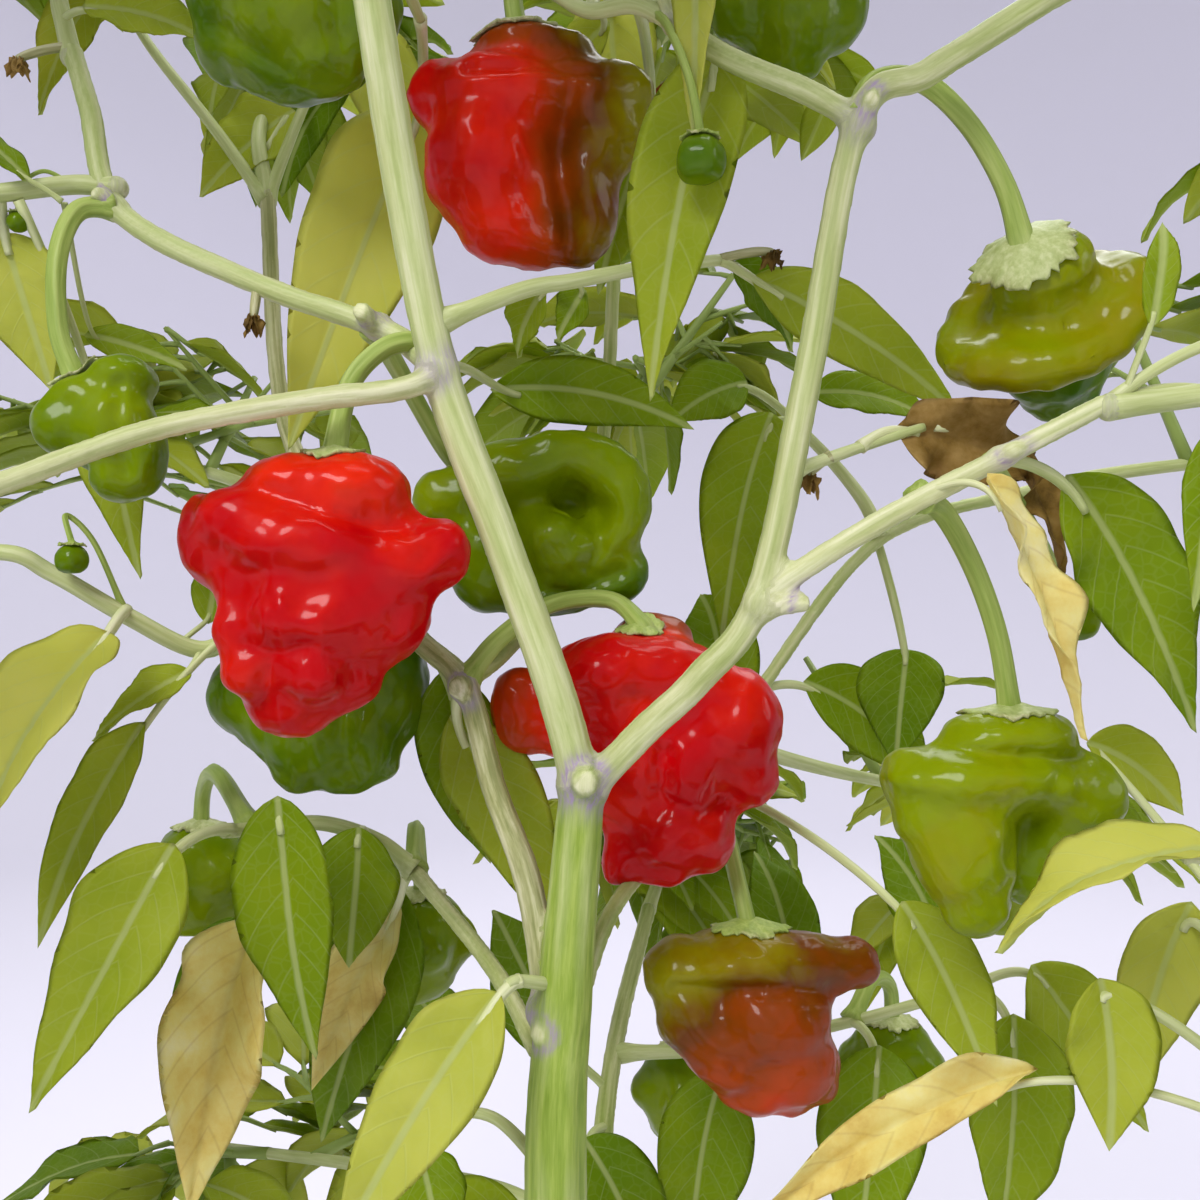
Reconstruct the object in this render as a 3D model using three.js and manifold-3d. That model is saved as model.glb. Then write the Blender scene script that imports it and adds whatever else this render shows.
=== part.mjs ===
// Chilli pepper plant, rooted in the ground, with ripe and unripe bonnet peppers on forked stems.
// Millimetres, +Z up, X to the viewer's right, Y away from the viewer.
// The origin is the centre of the flat cut under the stem, at ground level.
import * as THREE from 'three';
import { mergeVertices } from 'three/addons/utils/BufferGeometryUtils.js';
import Module from 'manifold-3d';

const wasm = await Module();
wasm.setup();

// Driving sizes of the plant
const JOINT_GAP = 0.3;
const TRUNK_FOOT_RADIUS = 14;
const TRUNK_RADIUS = 9;
const TRUNK_TOP_RADIUS = 5.9;
const TRUNK_STATIONS = [0, 0.06, 0.14, 0.25, 0.36, 0.5, 0.62, 0.74, 0.87, 1];
const FLARE_FALL = 14;
const LIMB_SIDES = 6;
const TWIG_SIDES = 3;
const STALK_SIDES = 4;
const FRUIT_SIDES = 9;
const FRUIT_ROWS = 7;
const SMALL_FRUIT_RADIUS = 14;
const SMALL_FRUIT_SIDES = 6;
const SMALL_FRUIT_ROWS = 4;
const STALK_RADIUS = 2;
const PETIOLE_RADIUS = 1.1;
const LEAF_THICKNESS = 1.3;
const LEAF_SIDES = 4;
const BLADE_ARCH = 0.07;

// The seeded foliage: sizes, and how the rule turns, droops and shortens what it grows
const STEM_RADIUS = 2.6;
const TWIG_RADIUS = 1.8;
const TWIGS_A_MASS = 4;
const LEAVES_A_TWIG = 3;
const TWIGS_FROM = 0.62;
const GOLDEN_ANGLE = 2.39996;
const TURN_A_MASS = 1.7;
const TRIES_A_LEAF = 6;
const FIRST_LEAF = 0.44;
const LAST_LEAF = 0.98;
const ROOT_ROOM = 5;
const TURN_A_TRY = 2.4;
const SHRINK_A_TRY = 0.93;
const LEAF_LENGTH = 66;
const LEAF_WIDTH_SHARE = 0.4;
const CELL_MARGIN = 1.2;
const LIMB_MARGIN = 1.5;
const BEND_ROOM = 0.8;
const HANGING_FRUIT_RADIUS = 17;
const HANGING_FRUIT_HEIGHT = 30;
const HANGING_STALK = 16;
const CROWN_MIDDLE = [0, 40, 400];
const VIEWED_FROM = [0, -1, 0.35];
const FIRST_FACE = [0.31, -0.9, 0.3];

// The open side from which the plant is seen: the eye, half its angle as a slope, and the depth kept clear
const EYE = [0, -215, 380];
const VIEW_SLOPE = 0.52;
const CLEAR_DEPTH = 300;
// Openings to the sky: across, up and radius, each as a share of the distance from the eye
const OPEN_SKY = [
  [-0.40, 0.40, 0.07], [-0.32, 0.25, 0.045], [-0.45, 0.03, 0.06], [-0.37, 0.04, 0.04],
  [-0.10, 0.25, 0.03], [0.17, 0.31, 0.05], [0.25, 0.33, 0.07], [0.42, 0.42, 0.10],
  [0.30, 0.47, 0.06], [0.44, 0.12, 0.055], [0.49, 0.02, 0.05], [0.38, -0.08, 0.04],
  [-0.45, -0.33, 0.11], [-0.40, -0.19, 0.05], [0.10, 0.12, 0.03], [0.23, -0.21, 0.025],
];

// The trunk and the boughs: the line through which each one runs, and its radius at both ends
const LIMBS = {
  trunk: [[[0, 0, 0], [0, 0, 16], [-2, 1, 60], [-6, 1, 160], [-8, 0, 272], [-6, 0, 312], [-3, 0, 349]],
    TRUNK_RADIUS, TRUNK_TOP_RADIUS],
  left_limb: [[[-3, 0, 345], [-8, -2, 364], [-18, -3, 392], [-28, -5, 420], [-34, -10, 452], [-38, -15, 480],
    [-44, -16, 520]], 4.6, 3.0],
  right_limb: [[[-3, 0, 345], [7, -3, 356], [17, -6, 366], [27, -10, 380], [35, -12, 417], [43, -15, 460],
    [54, -17, 467], [72, -18, 478], [90, -18, 490], [118, -5, 530]], 4.4, 2.4],
  second_stem: [[[-9, 3, 303], [-13, 6, 327], [-20, 10, 345], [-26, 14, 364], [-38, 25, 374], [-59, 47, 397],
    [-75, 67, 427], [-81, 77, 480]], 3.6, 2.2],
  rear_right_limb: [[[-6, 1, 300], [1, 14, 318], [10, 35, 326], [23, 65, 338], [38, 73, 358], [69, 80, 395],
    [110, 86, 408]], 3.2, 2.1],
  right_side_limb: [[[27, -10, 380], [37, -13, 387], [50, -16, 395], [65, -20, 403], [82, -22, 412]],
    2.9, 2.0],
  right_inner_limb: [[[43, -15, 460], [35, -14, 465], [18, -8, 476], [11, -3, 490], [8, 0, 530]], 2.8, 2.2],
  left_front_limb: [[[-28, -5, 420], [-34, -10, 416], [-50, -15, 413], [-72, -23, 407], [-92, -30, 398],
    [-125, -35, 385]], 2.4, 2.0],
  left_rear_limb: [[[-28, -5, 420], [-40, 7, 430], [-65, 13, 440], [-94, 20, 456], [-102, 25, 478],
    [-107, 28, 492]], 2.7, 2.2],
  second_right_limb: [[[-26, 14, 364], [-19, 27, 370], [-7, 63, 387], [1, 75, 421], [5, 85, 500]], 2.6, 2.0],
  lower_left_limb: [[[-11, 2, 298], [-22, 30, 305], [-40, 43, 322]], 2.6, 2.1],
  low_left_limb: [[[-7, 0, 205], [-28, -12, 232], [-70, -32, 262], [-110, -45, 280]], 3.0, 2.1],
  low_right_limb: [[[-7, 0, 185], [20, -12, 215], [62, -26, 250], [104, -24, 288]], 3.1, 2.1],
  low_back_limb: [[[-6, 1, 165], [-4, 28, 200], [2, 84, 258], [14, 130, 292]], 3.2, 2.2],
};

// A leaf is its root on the stem, the base and the tip of its blade, its width, and its turn in degrees
const leaf = (root, base, tip, width, turn = 0) => ({ root, base, tip, width, turn });

// Fruits: the line of the stalk, the tip, the radius across the brim, and how the body departs from round.
// A knob is its angle, its place down the fruit, how far it stands out, and its spread around and along.
const FRUITS = {
  fruit_red_left: { stalk: [[-28, -4, 421], [-31, 0, 426], [-38, -2, 425], [-44, -4, 418], [-46, -7, 406]],
    tip: [-52, -9, 356], radius: 19, depth: 0.9, lobes: 3, crease: 0.28, spin: 60, colour: '#c4121f',
    shape: 'skirted', knobs: [[178, 0.36, 9, 22, 0.11], [8, 0.42, 9, 24, 0.11], [110, 0.62, 3, 40, 0.2]],
    leaves: [leaf([-28, -4, 421], [-23, 36, 424], [21, 47, 417], 15, 35)] },
  fruit_red_middle: { stalk: [[-26, 14, 364], [-20, 21, 372], [-10, 28, 379], [2, 32, 380], [8, 28, 375]],
    tip: [10, 27, 323], radius: 24, depth: 0.72, lobes: 3, crease: 0.24, spin: 300, colour: '#c81a1a',
    shape: 'broad', knobs: [[185, 0.36, 5, 30, 0.14], [15, 0.4, 6, 26, 0.14]],
    leaves: [leaf([-26, 14, 364], [-30, 26, 357], [-9, 34, 309], 19, 8)] },
  fruit_red_top: { stalk: [[9, -2, 508], [2, 10, 516], [-10, 18, 513], [-17, 20, 503], [-16, 20, 490]],
    tip: [-10, 18, 443], radius: 25, depth: 0.86, lobes: 3, crease: 0.26, spin: 215, colour: '#b3221a',
    shape: 'broad', knobs: [[185, 0.33, 4, 30, 0.14], [10, 0.33, 4, 30, 0.14]], leaves: [] },
  fruit_green_top_left: { stalk: [[-43, -16, 516], [-50, -4, 524], [-57, 10, 522], [-58, 17, 512]],
    tip: [-57, 15, 475], radius: 20, depth: 0.9, lobes: 4, crease: 0.18, spin: 80, colour: '#5f8f1e',
    shape: 'plain', knobs: [], leaves: [] },
  fruit_green_top_right: { stalk: [[9, -2, 522], [20, 8, 527], [33, 16, 523], [37, 17, 511]],
    tip: [35, 15, 479], radius: 15.5, depth: 0.95, lobes: 3, crease: 0.16, spin: 20, colour: '#64921f',
    shape: 'plain', knobs: [], leaves: [] },
  fruit_olive_right: { stalk: [[43, -15, 460], [46, -13, 467], [55, -9, 469], [64, -6, 463], [71, -4, 453],
    [74, -4, 443]], tip: [85, 2, 410], radius: 18, depth: 0.95, lobes: 3, crease: 0.16, spin: 190,
    colour: '#93a01f', shape: 'saucer', knobs: [[185, 0.45, 3, 40, 0.12], [60, 0.42, 2, 40, 0.12]],
    leaves: [] },
  fruit_green_middle: { stalk: [[-42, 8, 431], [-39, 25, 424], [-33, 40, 412], [-27, 46, 405]],
    tip: [10, 26, 391], radius: 18, depth: 0.95, lobes: 3, crease: 0.2, spin: 130, colour: '#6a9a1c',
    shape: 'saucer', knobs: [[20, 0.4, 4, 35, 0.15]], leaves: [] },
  fruit_green_lower_left: { stalk: [[-38, 25, 374], [-46, 34, 381], [-55, 39, 379], [-58, 38, 370]],
    tip: [-54, 36, 339], radius: 18, depth: 0.9, lobes: 4, crease: 0.2, spin: 40, colour: '#4f8a1f',
    shape: 'plain', knobs: [], leaves: [] },
  fruit_lime_right: { stalk: [[53, -16, 397], [59, -9, 395], [66, -4, 385], [71, -1, 373], [74, 2, 360]],
    tip: [66, 1, 320], radius: 18.5, depth: 0.95, lobes: 3, crease: 0.2, spin: 290, colour: '#94b81c',
    shape: 'skirted', knobs: [[180, 0.36, 2, 40, 0.14], [5, 0.4, 4, 40, 0.16]],
    leaves: [leaf([53, -16, 397], [61, -26, 400], [77, -26, 357], 10, -25)] },
  fruit_brown_middle: { stalk: [[23, 65, 338], [27, 50, 331], [29, 39, 321], [31, 35, 311]],
    tip: [40, 33, 275], radius: 20, depth: 0.9, lobes: 3, crease: 0.24, spin: 330, colour: '#8a3b1c',
    shape: 'broad', knobs: [[0, 0.3, 9, 20, 0.1]],
    leaves: [leaf([23, 65, 338], [54, 20, 322], [67, 11, 286], 19, 10)] },
  fruit_green_small_left: { stalk: [[-95, 20, 457], [-101, 17, 455], [-103, 13, 445], [-102, 11, 431],
    [-99, 11, 422]], tip: [-89, 9, 398], radius: 11, depth: 0.95, lobes: 3, crease: 0.14, spin: 200,
    colour: '#5d901f', shape: 'plain', knobs: [], leaves: [] },
  fruit_green_young_right: { stalk: [[64, -19, 403], [72, -4, 400], [86, 18, 391], [92, 27, 385]],
    tip: [97, 28, 372], radius: 5.5, depth: 1, lobes: 3, crease: 0.1, spin: 0, colour: '#4d8c26',
    shape: 'plain', knobs: [], leaves: [leaf([64, -19, 403], [78, -14, 401], [105, -4, 356], 20, 12)] },
};

// Profiles of a pepper, from the stalk to the tip: how far down, and how wide beside the brim
const PROFILES = {
  skirted: [[0, 0], [0.03, 0.46], [0.12, 0.6], [0.22, 0.62], [0.3, 0.8], [0.38, 1], [0.48, 0.94],
    [0.65, 0.74], [0.85, 0.52], [0.96, 0.3], [1, 0]],
  broad: [[0, 0], [0.03, 0.42], [0.1, 0.62], [0.2, 0.88], [0.32, 1], [0.46, 0.98], [0.62, 0.84], [0.8, 0.62],
    [0.93, 0.38], [1, 0]],
  plain: [[0, 0], [0.04, 0.45], [0.14, 0.8], [0.28, 0.98], [0.45, 1], [0.62, 0.9], [0.8, 0.66], [0.94, 0.34],
    [1, 0]],
  saucer: [[0, 0], [0.05, 0.5], [0.14, 0.6], [0.24, 0.66], [0.34, 0.96], [0.44, 1.05], [0.52, 0.92],
    [0.62, 0.66], [0.8, 0.56], [0.94, 0.34], [1, 0]],
};

// Sprays of leaves on the photographed side: one stem each, whose first point lies in its limb
const SPRAYS = {
  spray_middle: { stem: [[-29, -6, 428], [-14, 2, 436], [-5, 7, 439], [8, 13, 443], [24, 25, 448]],
    radius: 1.7, balls: [[[-5, 7, 439], [1, 9, 434], [8, 11, 426], [10, 12, 421], 2.4]],
    leaves: [leaf([-5, 7, 439], [-11, 21, 441], [-18, 31, 429], 10), leaf([-5, 7, 439], [-3, 17, 440],
      [-9, 23, 431], 8), leaf([24, 25, 448], [27, 30, 449], [42, 37, 432], 12), leaf([24, 25, 448],
      [30, 24, 444], [77, 35, 418], 16, 10)] },
  spray_top_middle: { stem: [[16, -7, 478], [7, 1, 487], [-2, 7, 489], [-9, 10, 494]], radius: 1.8,
    balls: [[[7, 1, 487], [10, -2, 478], [13, -4, 468], [15, -4, 460], 3.9]],
    leaves: [leaf([9, 0, 485], [17, -4, 478], [7, -4, 417], 21), leaf([10, -1, 485], [15, -10, 500],
      [15, -13, 457], 9, 20), leaf([7, 1, 487], [12, 42, 484], [-1, 43, 446], 18), leaf([-2, 7, 489],
      [2, 30, 498], [-12, 43, 485], 12)] },
  leaf_left_limb: { stem: [[-38, -14, 483], [-35, -2, 489], [-34, 12, 490]], radius: 1.4, balls: [],
    leaves: [leaf([-34, 12, 490], [-37, 42, 487], [-67, 42, 411], 29, -10)] },
  leaf_foot_left: { stem: [[-8, 0, 311], [-14, -7, 314], [-16, -9, 314]], radius: 1.3, balls: [],
    leaves: [leaf([-14, -7, 314], [-17, -10, 313], [-43, -24, 274], 18, 8)] },
  leaf_foot_low: { stem: [[-8, 0, 276], [-20, 12, 282], [-33, 21, 279]], radius: 1.3, balls: [],
    leaves: [leaf([-33, 21, 279], [-36, 20, 274], [-30, 16, 250], 18, 20)] },
  leaf_dry_right: { stem: [[33, -11, 402], [46, -3, 407], [58, 0, 411]], radius: 1.2, balls: [],
    leaves: [leaf([46, -3, 407], [60, 0, 411], [82, 2, 404], 11, 20), leaf([46, -3, 407], [70, 2, 410],
      [87, 3, 385], 10, -30)] },
  spray_rear: { stem: [[69, 80, 395], [66, 84, 404], [60, 90, 414], [52, 95, 424]], radius: 1.9, balls: [],
    leaves: [leaf([52, 95, 424], [44, 92, 428], [30, 80, 370], 24), leaf([52, 95, 424], [38, 94, 436],
      [17, 88, 424], 18), leaf([66, 84, 404], [75, 78, 368], [70, 70, 340], 22, 20)] },
  spray_lower_left: { stem: [[-40, 43, 322], [-48, 44, 328], [-59, 38, 333], [-70, 26, 334], [-73, 18, 335]],
    radius: 1.9, balls: [],
    leaves: [leaf([-72, 20, 335], [-77, 2, 336], [-96, -13, 293], 21), leaf([-69, 27, 334],
      [-61, 12, 343], [-55, 10, 291], 20, 8), leaf([-50, 43, 329], [-50, 34, 333], [-53, 35, 302], 19),
      leaf([-60, 37, 333], [-82, 58, 308], [-93, 50, 266], 16), leaf([-66, 30, 334], [-69, 26, 316],
      [-78, 14, 262], 25), leaf([-42, 43, 323], [-44, 50, 313], [-64, 50, 271], 18)] },
};

// Masses of foliage: the stem that carries each one, the middle and reach of its space, and its hanging fruit
const MASSES = {
  mass_top_left: { stem: [[-43, -16, 517], [-52, -19, 534], [-72, -22, 550]], middle: [-98, -28, 566],
    reach: 78, fruit: 1, leaves: [] },
  mass_top_front: { stem: [[-41, -16, 500], [-36, -28, 520], [-28, -48, 548]], middle: [-20, -78, 566],
    reach: 66, fruit: 0, leaves: [] },
  mass_top_middle: { stem: [[8, 0, 528], [8, 6, 548], [6, 16, 566]], middle: [5, 32, 590], reach: 74,
    fruit: 0, leaves: [] },
  mass_top_right: { stem: [[118, -5, 528], [122, -8, 545]], middle: [128, -14, 572], reach: 78, fruit: 0,
    leaves: [] },
  mass_upper_left: { stem: [[-107, 28, 490], [-110, 30, 500], [-116, 34, 516]], middle: [-150, 62, 552],
    reach: 78, fruit: 1, leaves: [leaf([-109, 29, 498], [-103, 24, 498], [-75, 22, 489], 12)] },
  mass_upper_back_left: { stem: [[-81, 77, 478], [-84, 84, 500]], middle: [-82, 140, 545], reach: 74,
    fruit: 0, leaves: [leaf([-82, 80, 490], [-76, 84, 502], [-98, 78, 478], 20)] },
  mass_upper_back: { stem: [[5, 85, 498], [10, 98, 520]], middle: [24, 142, 552], reach: 74, fruit: 1,
    leaves: [] },
  mass_upper_back_right: { stem: [[105, -12, 511], [114, 8, 514], [138, 30, 513]], middle: [180, 62, 510],
    reach: 76, fruit: 0, leaves: [] },
  mass_left: { stem: [[-95, 21, 461], [-104, 22, 462], [-115, 15, 458], [-128, 13, 456], [-158, 14, 462]],
    middle: [-200, 14, 472], reach: 74, fruit: 1, leaves: [leaf([-104, 17, 457], [-109, 14, 460],
      [-124, 9, 471], 8, 40), leaf([-115, 15, 458], [-117, 20, 452], [-109, 24, 421], 18),
      leaf([-112, 16, 457], [-104, 32, 424], [-94, 28, 384], 14)] },
  mass_left_front: { stem: [[-124, -35, 385], [-138, -42, 388]], middle: [-184, -72, 402], reach: 72,
    fruit: 1, leaves: [] },
  mass_left_low: { stem: [[-38, 25, 374], [-52, 27, 384], [-70, 28, 376], [-80, 26, 370], [-92, 18, 377],
    [-104, 13, 385], [-114, 10, 389], [-150, 20, 385]], middle: [-196, 34, 376], reach: 74, fruit: 0,
    leaves: [leaf([-92, 18, 378], [-91, 8, 374], [-103, -23, 338], 22, 10), leaf([-80, 26, 370],
      [-80, 20, 366], [-96, 10, 354], 10, 20), leaf([-75, 27, 373], [-86, 12, 357], [-103, 0, 317], 12),
      leaf([-84, 24, 371], [-81, 33, 375], [-80, 37, 391], 9)] },
  mass_right_front: { stem: [[82, -22, 411], [97, -22, 413], [122, -27, 416], [145, -38, 424]],
    middle: [190, -60, 440], reach: 78, fruit: 0, leaves: [leaf([84, -22, 412], [87, -26, 423],
      [89, -26, 440], 6), leaf([99, -22, 413], [97, -27, 407], [92, -31, 378], 9)] },
  mass_right_rear: { stem: [[109, 86, 407], [130, 88, 412]], middle: [180, 92, 418], reach: 80, fruit: 1,
    leaves: [] },
  mass_right_low: { stem: [[104, -24, 287], [109, -16, 300], [116, -12, 315]], middle: [168, -34, 322],
    reach: 74, fruit: 0, leaves: [leaf([116, -12, 315], [97, -26, 341], [60, -29, 328], 17, 55),
      leaf([108, -17, 299], [82, -18, 318], [82, -23, 291], 16), leaf([106, -20, 294], [72, -18, 303],
      [21, -20, 276], 12, 20), leaf([112, -13, 308], [106, 0, 326], [97, 4, 287], 16)] },
  mass_low_left: { stem: [[-109, -45, 280], [-122, -48, 284]], middle: [-170, -52, 296], reach: 74, fruit: 1,
    leaves: [] },
  mass_low_front_left: { stem: [[-68, -32, 262], [-76, -52, 262], [-80, -74, 258]], middle: [-88, -114, 250],
    reach: 66, fruit: 0, leaves: [] },
  mass_low_front_right: { stem: [[60, -26, 249], [72, -48, 256], [82, -74, 256]], middle: [98, -118, 250],
    reach: 66, fruit: 1, leaves: [] },
  mass_low_back: { stem: [[14, 130, 291], [18, 144, 300]], middle: [24, 190, 318], reach: 80, fruit: 0,
    leaves: [] },
  mass_back_left: { stem: [[-60, 48, 398], [-78, 70, 404], [-98, 96, 412]], middle: [-142, 138, 424],
    reach: 80, fruit: 1, leaves: [] },
  mass_back_right_low: { stem: [[30, 69, 347], [48, 84, 340], [72, 108, 332]], middle: [118, 158, 318],
    reach: 78, fruit: 1, leaves: [] },
  mass_back_left_low: { stem: [[-2, 60, 233], [-24, 76, 237], [-58, 94, 234]], middle: [-104, 122, 226],
    reach: 76, fruit: 0, leaves: [] },
  mass_back: { stem: [[1, 75, 424], [8, 96, 432], [12, 124, 438]], middle: [22, 192, 446], reach: 76,
    fruit: 0, leaves: [] },
};

const LEAF_GREEN = '#7f9a3a';
const STEM_GREEN = '#9aa86a';
const PALE_STEM = '#c9c79a';

// Small helpers on points
const point = (p) => new THREE.Vector3(p[0], p[1], p[2]);
const between = (a, b, share) => a.clone().lerp(b, share);
const radians = (degrees) => degrees * Math.PI / 180;
const smoothLine = (points) => new THREE.CatmullRomCurve3(points.map(point), false, 'catmullrom', 0.5);

// A closed solid of triangles whose shared corners are merged and whose collapsed faces are gone
function solidOf(geometry) {
  geometry.deleteAttribute('normal');
  geometry.deleteAttribute('uv');
  const joined = mergeVertices(geometry);
  const corners = joined.index.array;
  const kept = [];
  for (let k = 0; k < corners.length; k += 3) {
    const [a, b, c] = [corners[k], corners[k + 1], corners[k + 2]];
    if (a !== b && b !== c && c !== a) kept.push(a, b, c);
  }
  const shape = new wasm.Mesh({
    numProp: 3,
    vertProperties: new Float32Array(joined.attributes.position.array),
    triVerts: new Uint32Array(kept),
  });
  return new wasm.Manifold(shape);
}

// A bar with flat sides along a line. Each stop is a share of the line, a half width and a half thickness.
function bar(line, stops, sides, facing) {
  const geometry = new THREE.CylinderGeometry(1, 1, 1, sides, stops.length - 1);
  const stations = [];
  let across = line.getTangent(0).cross(facing || point(FIRST_FACE));
  for (const [share, wide, thick] of stops) {
    const ahead = line.getTangent(share);
    if (facing) across = ahead.clone().cross(facing);
    across = across.clone().addScaledVector(ahead, -across.dot(ahead)).normalize();
    stations.push({ spot: line.getPoint(share), wide, thick, across, out: across.clone().cross(ahead) });
  }
  const place = geometry.attributes.position;
  for (let i = 0; i < place.count; i += 1) {
    const station = stations[Math.round((place.getY(i) + 0.5) * (stops.length - 1))];
    const moved = station.spot.clone();
    moved.addScaledVector(station.across, place.getX(i) * station.wide);
    moved.addScaledVector(station.out, place.getZ(i) * station.thick);
    place.setXYZ(i, moved.x, moved.y, moved.z);
  }
  return solidOf(geometry);
}

// A tapering round limb. With extra, it is thicker and longer by that much, to cut room for a joint.
function limbSolid(points, startRadius, endRadius, sides, extra = 0) {
  const line = smoothLine(points);
  const steps = Math.max(3, points.length - 1);
  const grown = extra / Math.cos(Math.PI / sides);
  const stops = [];
  for (let i = 0; i <= steps; i += 1) {
    const share = i / steps;
    const radius = startRadius + (endRadius - startRadius) * share + grown;
    stops.push([share, radius, radius]);
  }
  return bar(line, stops, sides, null);
}

// The trunk: a limb that spreads into its roots' flare just above the ground
function trunkSolid(extra = 0) {
  const line = smoothLine(LIMBS.trunk[0]);
  const grown = extra / Math.cos(Math.PI / LIMB_SIDES);
  const stops = [];
  for (const share of TRUNK_STATIONS) {
    const taper = TRUNK_RADIUS + (TRUNK_TOP_RADIUS - TRUNK_RADIUS) * share;
    const flare = (TRUNK_FOOT_RADIUS - TRUNK_RADIUS) * Math.exp(-share * FLARE_FALL);
    stops.push([share, taper + flare + grown, taper + flare + grown]);
  }
  return bar(line, stops, LIMB_SIDES, null);
}

// The way that a blade faces: towards the open side and the light, square to its length, then turned
function bladeFacing(base, tip, turn, towards) {
  const along = tip.clone().sub(base).normalize();
  const facing = towards.clone().addScaledVector(along, -towards.dot(along)).normalize();
  return facing.applyAxisAngle(along, radians(turn));
}

// A leaf with its petiole: a thin blade of four sides that is widest near its base
function leafSolid({ root, base, tip, width, turn }) {
  const [from, start, end] = [point(root), point(base), point(tip)];
  const arch = between(start, end, 0.5);
  arch.z += start.distanceTo(end) * BLADE_ARCH;
  const line = new THREE.CatmullRomCurve3([from, start, arch, end], false, 'catmullrom', 0.5);
  const half = LEAF_THICKNESS / 2;
  const stops = [[0, PETIOLE_RADIUS, PETIOLE_RADIUS], [0.34, PETIOLE_RADIUS, half],
    [0.58, width * 0.5, half], [1, 0, 0]];
  return bar(line, stops, LEAF_SIDES, bladeFacing(start, end, turn, point(VIEWED_FROM)));
}

// How far a pepper's skin is from its axis, at an angle round it and a share of its height
function pepperRadius(fruit, angle, down, profileWidth) {
  const depthDown = THREE.MathUtils.smoothstep(down, 0.04, 0.5);
  const groove = 1 - Math.abs(Math.cos(fruit.lobes * (angle - radians(fruit.spin)) / 2));
  let radius = fruit.radius * profileWidth * (1 - fruit.crease * groove * (0.35 + 0.65 * depthDown));
  for (const [around, place, height, spread, drop] of fruit.knobs) {
    const turn = THREE.MathUtils.euclideanModulo(angle - radians(around) + Math.PI, 2 * Math.PI) - Math.PI;
    radius += height * Math.exp(-((turn / radians(spread)) ** 2) - ((down - place) / drop) ** 2);
  }
  return radius;
}

// The body of a pepper between its stalk and its tip. Angle 0 is to the right and 90 towards the viewer.
function pepperSolid(fruit, sides, rows) {
  const top = point(fruit.stalk[fruit.stalk.length - 1]);
  const tip = point(fruit.tip);
  const up = top.clone().sub(tip).normalize();
  const right = new THREE.Vector3(1, 0, 0).addScaledVector(up, -up.x).normalize();
  const front = right.clone().cross(up);
  const corners = PROFILES[fruit.shape].map(([down, wide]) => new THREE.Vector2(down, wide));
  const profile = new THREE.SplineCurve(corners);
  const geometry = new THREE.SphereGeometry(1, sides, rows);
  const place = geometry.attributes.position;
  for (let i = 0; i < place.count; i += 1) {
    const share = 1 - Math.acos(THREE.MathUtils.clamp(-place.getY(i), -1, 1)) / Math.PI;
    const angle = Math.PI - Math.atan2(place.getZ(i), -place.getX(i));
    const { x: down, y: wide } = profile.getPoint(share);
    const onAxis = share < 0.001 || share > 0.999;
    const radius = onAxis ? 0 : pepperRadius(fruit, angle, down, wide);
    const spot = between(top, tip, down);
    spot.addScaledVector(right, Math.cos(angle) * radius);
    spot.addScaledVector(front, Math.sin(angle) * radius * fruit.depth);
    place.setXYZ(i, spot.x, spot.y, spot.z);
  }
  return solidOf(geometry);
}

// The stalk of a pepper, which widens into the calyx that sits on the fruit
function stalkSolid(fruit) {
  const points = [...fruit.stalk];
  const top = point(points[points.length - 1]);
  const into = between(top, point(fruit.tip), 0.12);
  points.push(into.toArray());
  const line = smoothLine(points);
  const calyx = fruit.radius * 0.4;
  const thin = Math.min(STALK_RADIUS, fruit.radius * 0.18);
  const last = (points.length - 2) / (points.length - 1);
  const stops = [];
  const steps = points.length - 2;
  for (let i = 0; i <= steps; i += 1) stops.push([last * 0.93 * i / steps, thin, thin]);
  stops.push([last * 0.97, thin * 1.6, thin * 1.6]);
  stops.push([last, calyx, calyx]);
  stops.push([1, calyx * 0.6, calyx * 0.6]);
  return bar(line, stops, STALK_SIDES, null);
}

// A tiny fruit: a low ball at the end of its thin stalk
function ballSolid([root, bend, hang, middle, radius]) {
  const stalk = limbSolid([root, bend, hang, middle], 0.8, 0.9, TWIG_SIDES);
  const geometry = new THREE.SphereGeometry(radius, SMALL_FRUIT_SIDES, SMALL_FRUIT_ROWS);
  geometry.rotateX(Math.PI / 2);
  geometry.translate(middle[0], middle[1], middle[2]);
  return stalk.add(solidOf(geometry));
}

// The largest closed piece of a solid: loose scraps and sealed hollows go
function largestPiece(solid) {
  let best = null;
  for (const piece of solid.decompose()) {
    if (!best || piece.volume() > best.volume()) best = piece;
  }
  return best;
}

// A short plug just past a limb's end, so that what continues it starts a gap away
function jointCap(points, endRadius) {
  const [before, end] = [point(points[points.length - 2]), point(points[points.length - 1])];
  const ahead = end.clone().sub(before).normalize();
  const past = end.clone().addScaledVector(ahead, JOINT_GAP);
  const back = end.clone().addScaledVector(ahead, -1);
  return limbSolid([back.toArray(), past.toArray()], endRadius, endRadius, LIMB_SIDES, JOINT_GAP);
}

// The limbs, in order. Each one is cut where it would meet an earlier one, so that a thin gap is left.
const limbSolids = {};
const limbCutters = [];
for (const [name, [points, startRadius, endRadius]] of Object.entries(LIMBS)) {
  if (name === 'trunk') {
    limbSolids[name] = trunkSolid();
    limbCutters.push(trunkSolid(JOINT_GAP));
  } else {
    limbSolids[name] = clearOfLimbs(limbSolid(points, startRadius, endRadius, LIMB_SIDES));
    limbCutters.push(limbSolid(points, startRadius, endRadius, LIMB_SIDES, JOINT_GAP));
    limbCutters.push(jointCap(points, endRadius));
  }
}

// Leaves the joint's gap round every limb that is made so far
function clearOfLimbs(solid) {
  let cut = solid;
  for (const cutter of limbCutters) cut = cut.subtract(cutter);
  return largestPiece(cut);
}

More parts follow.
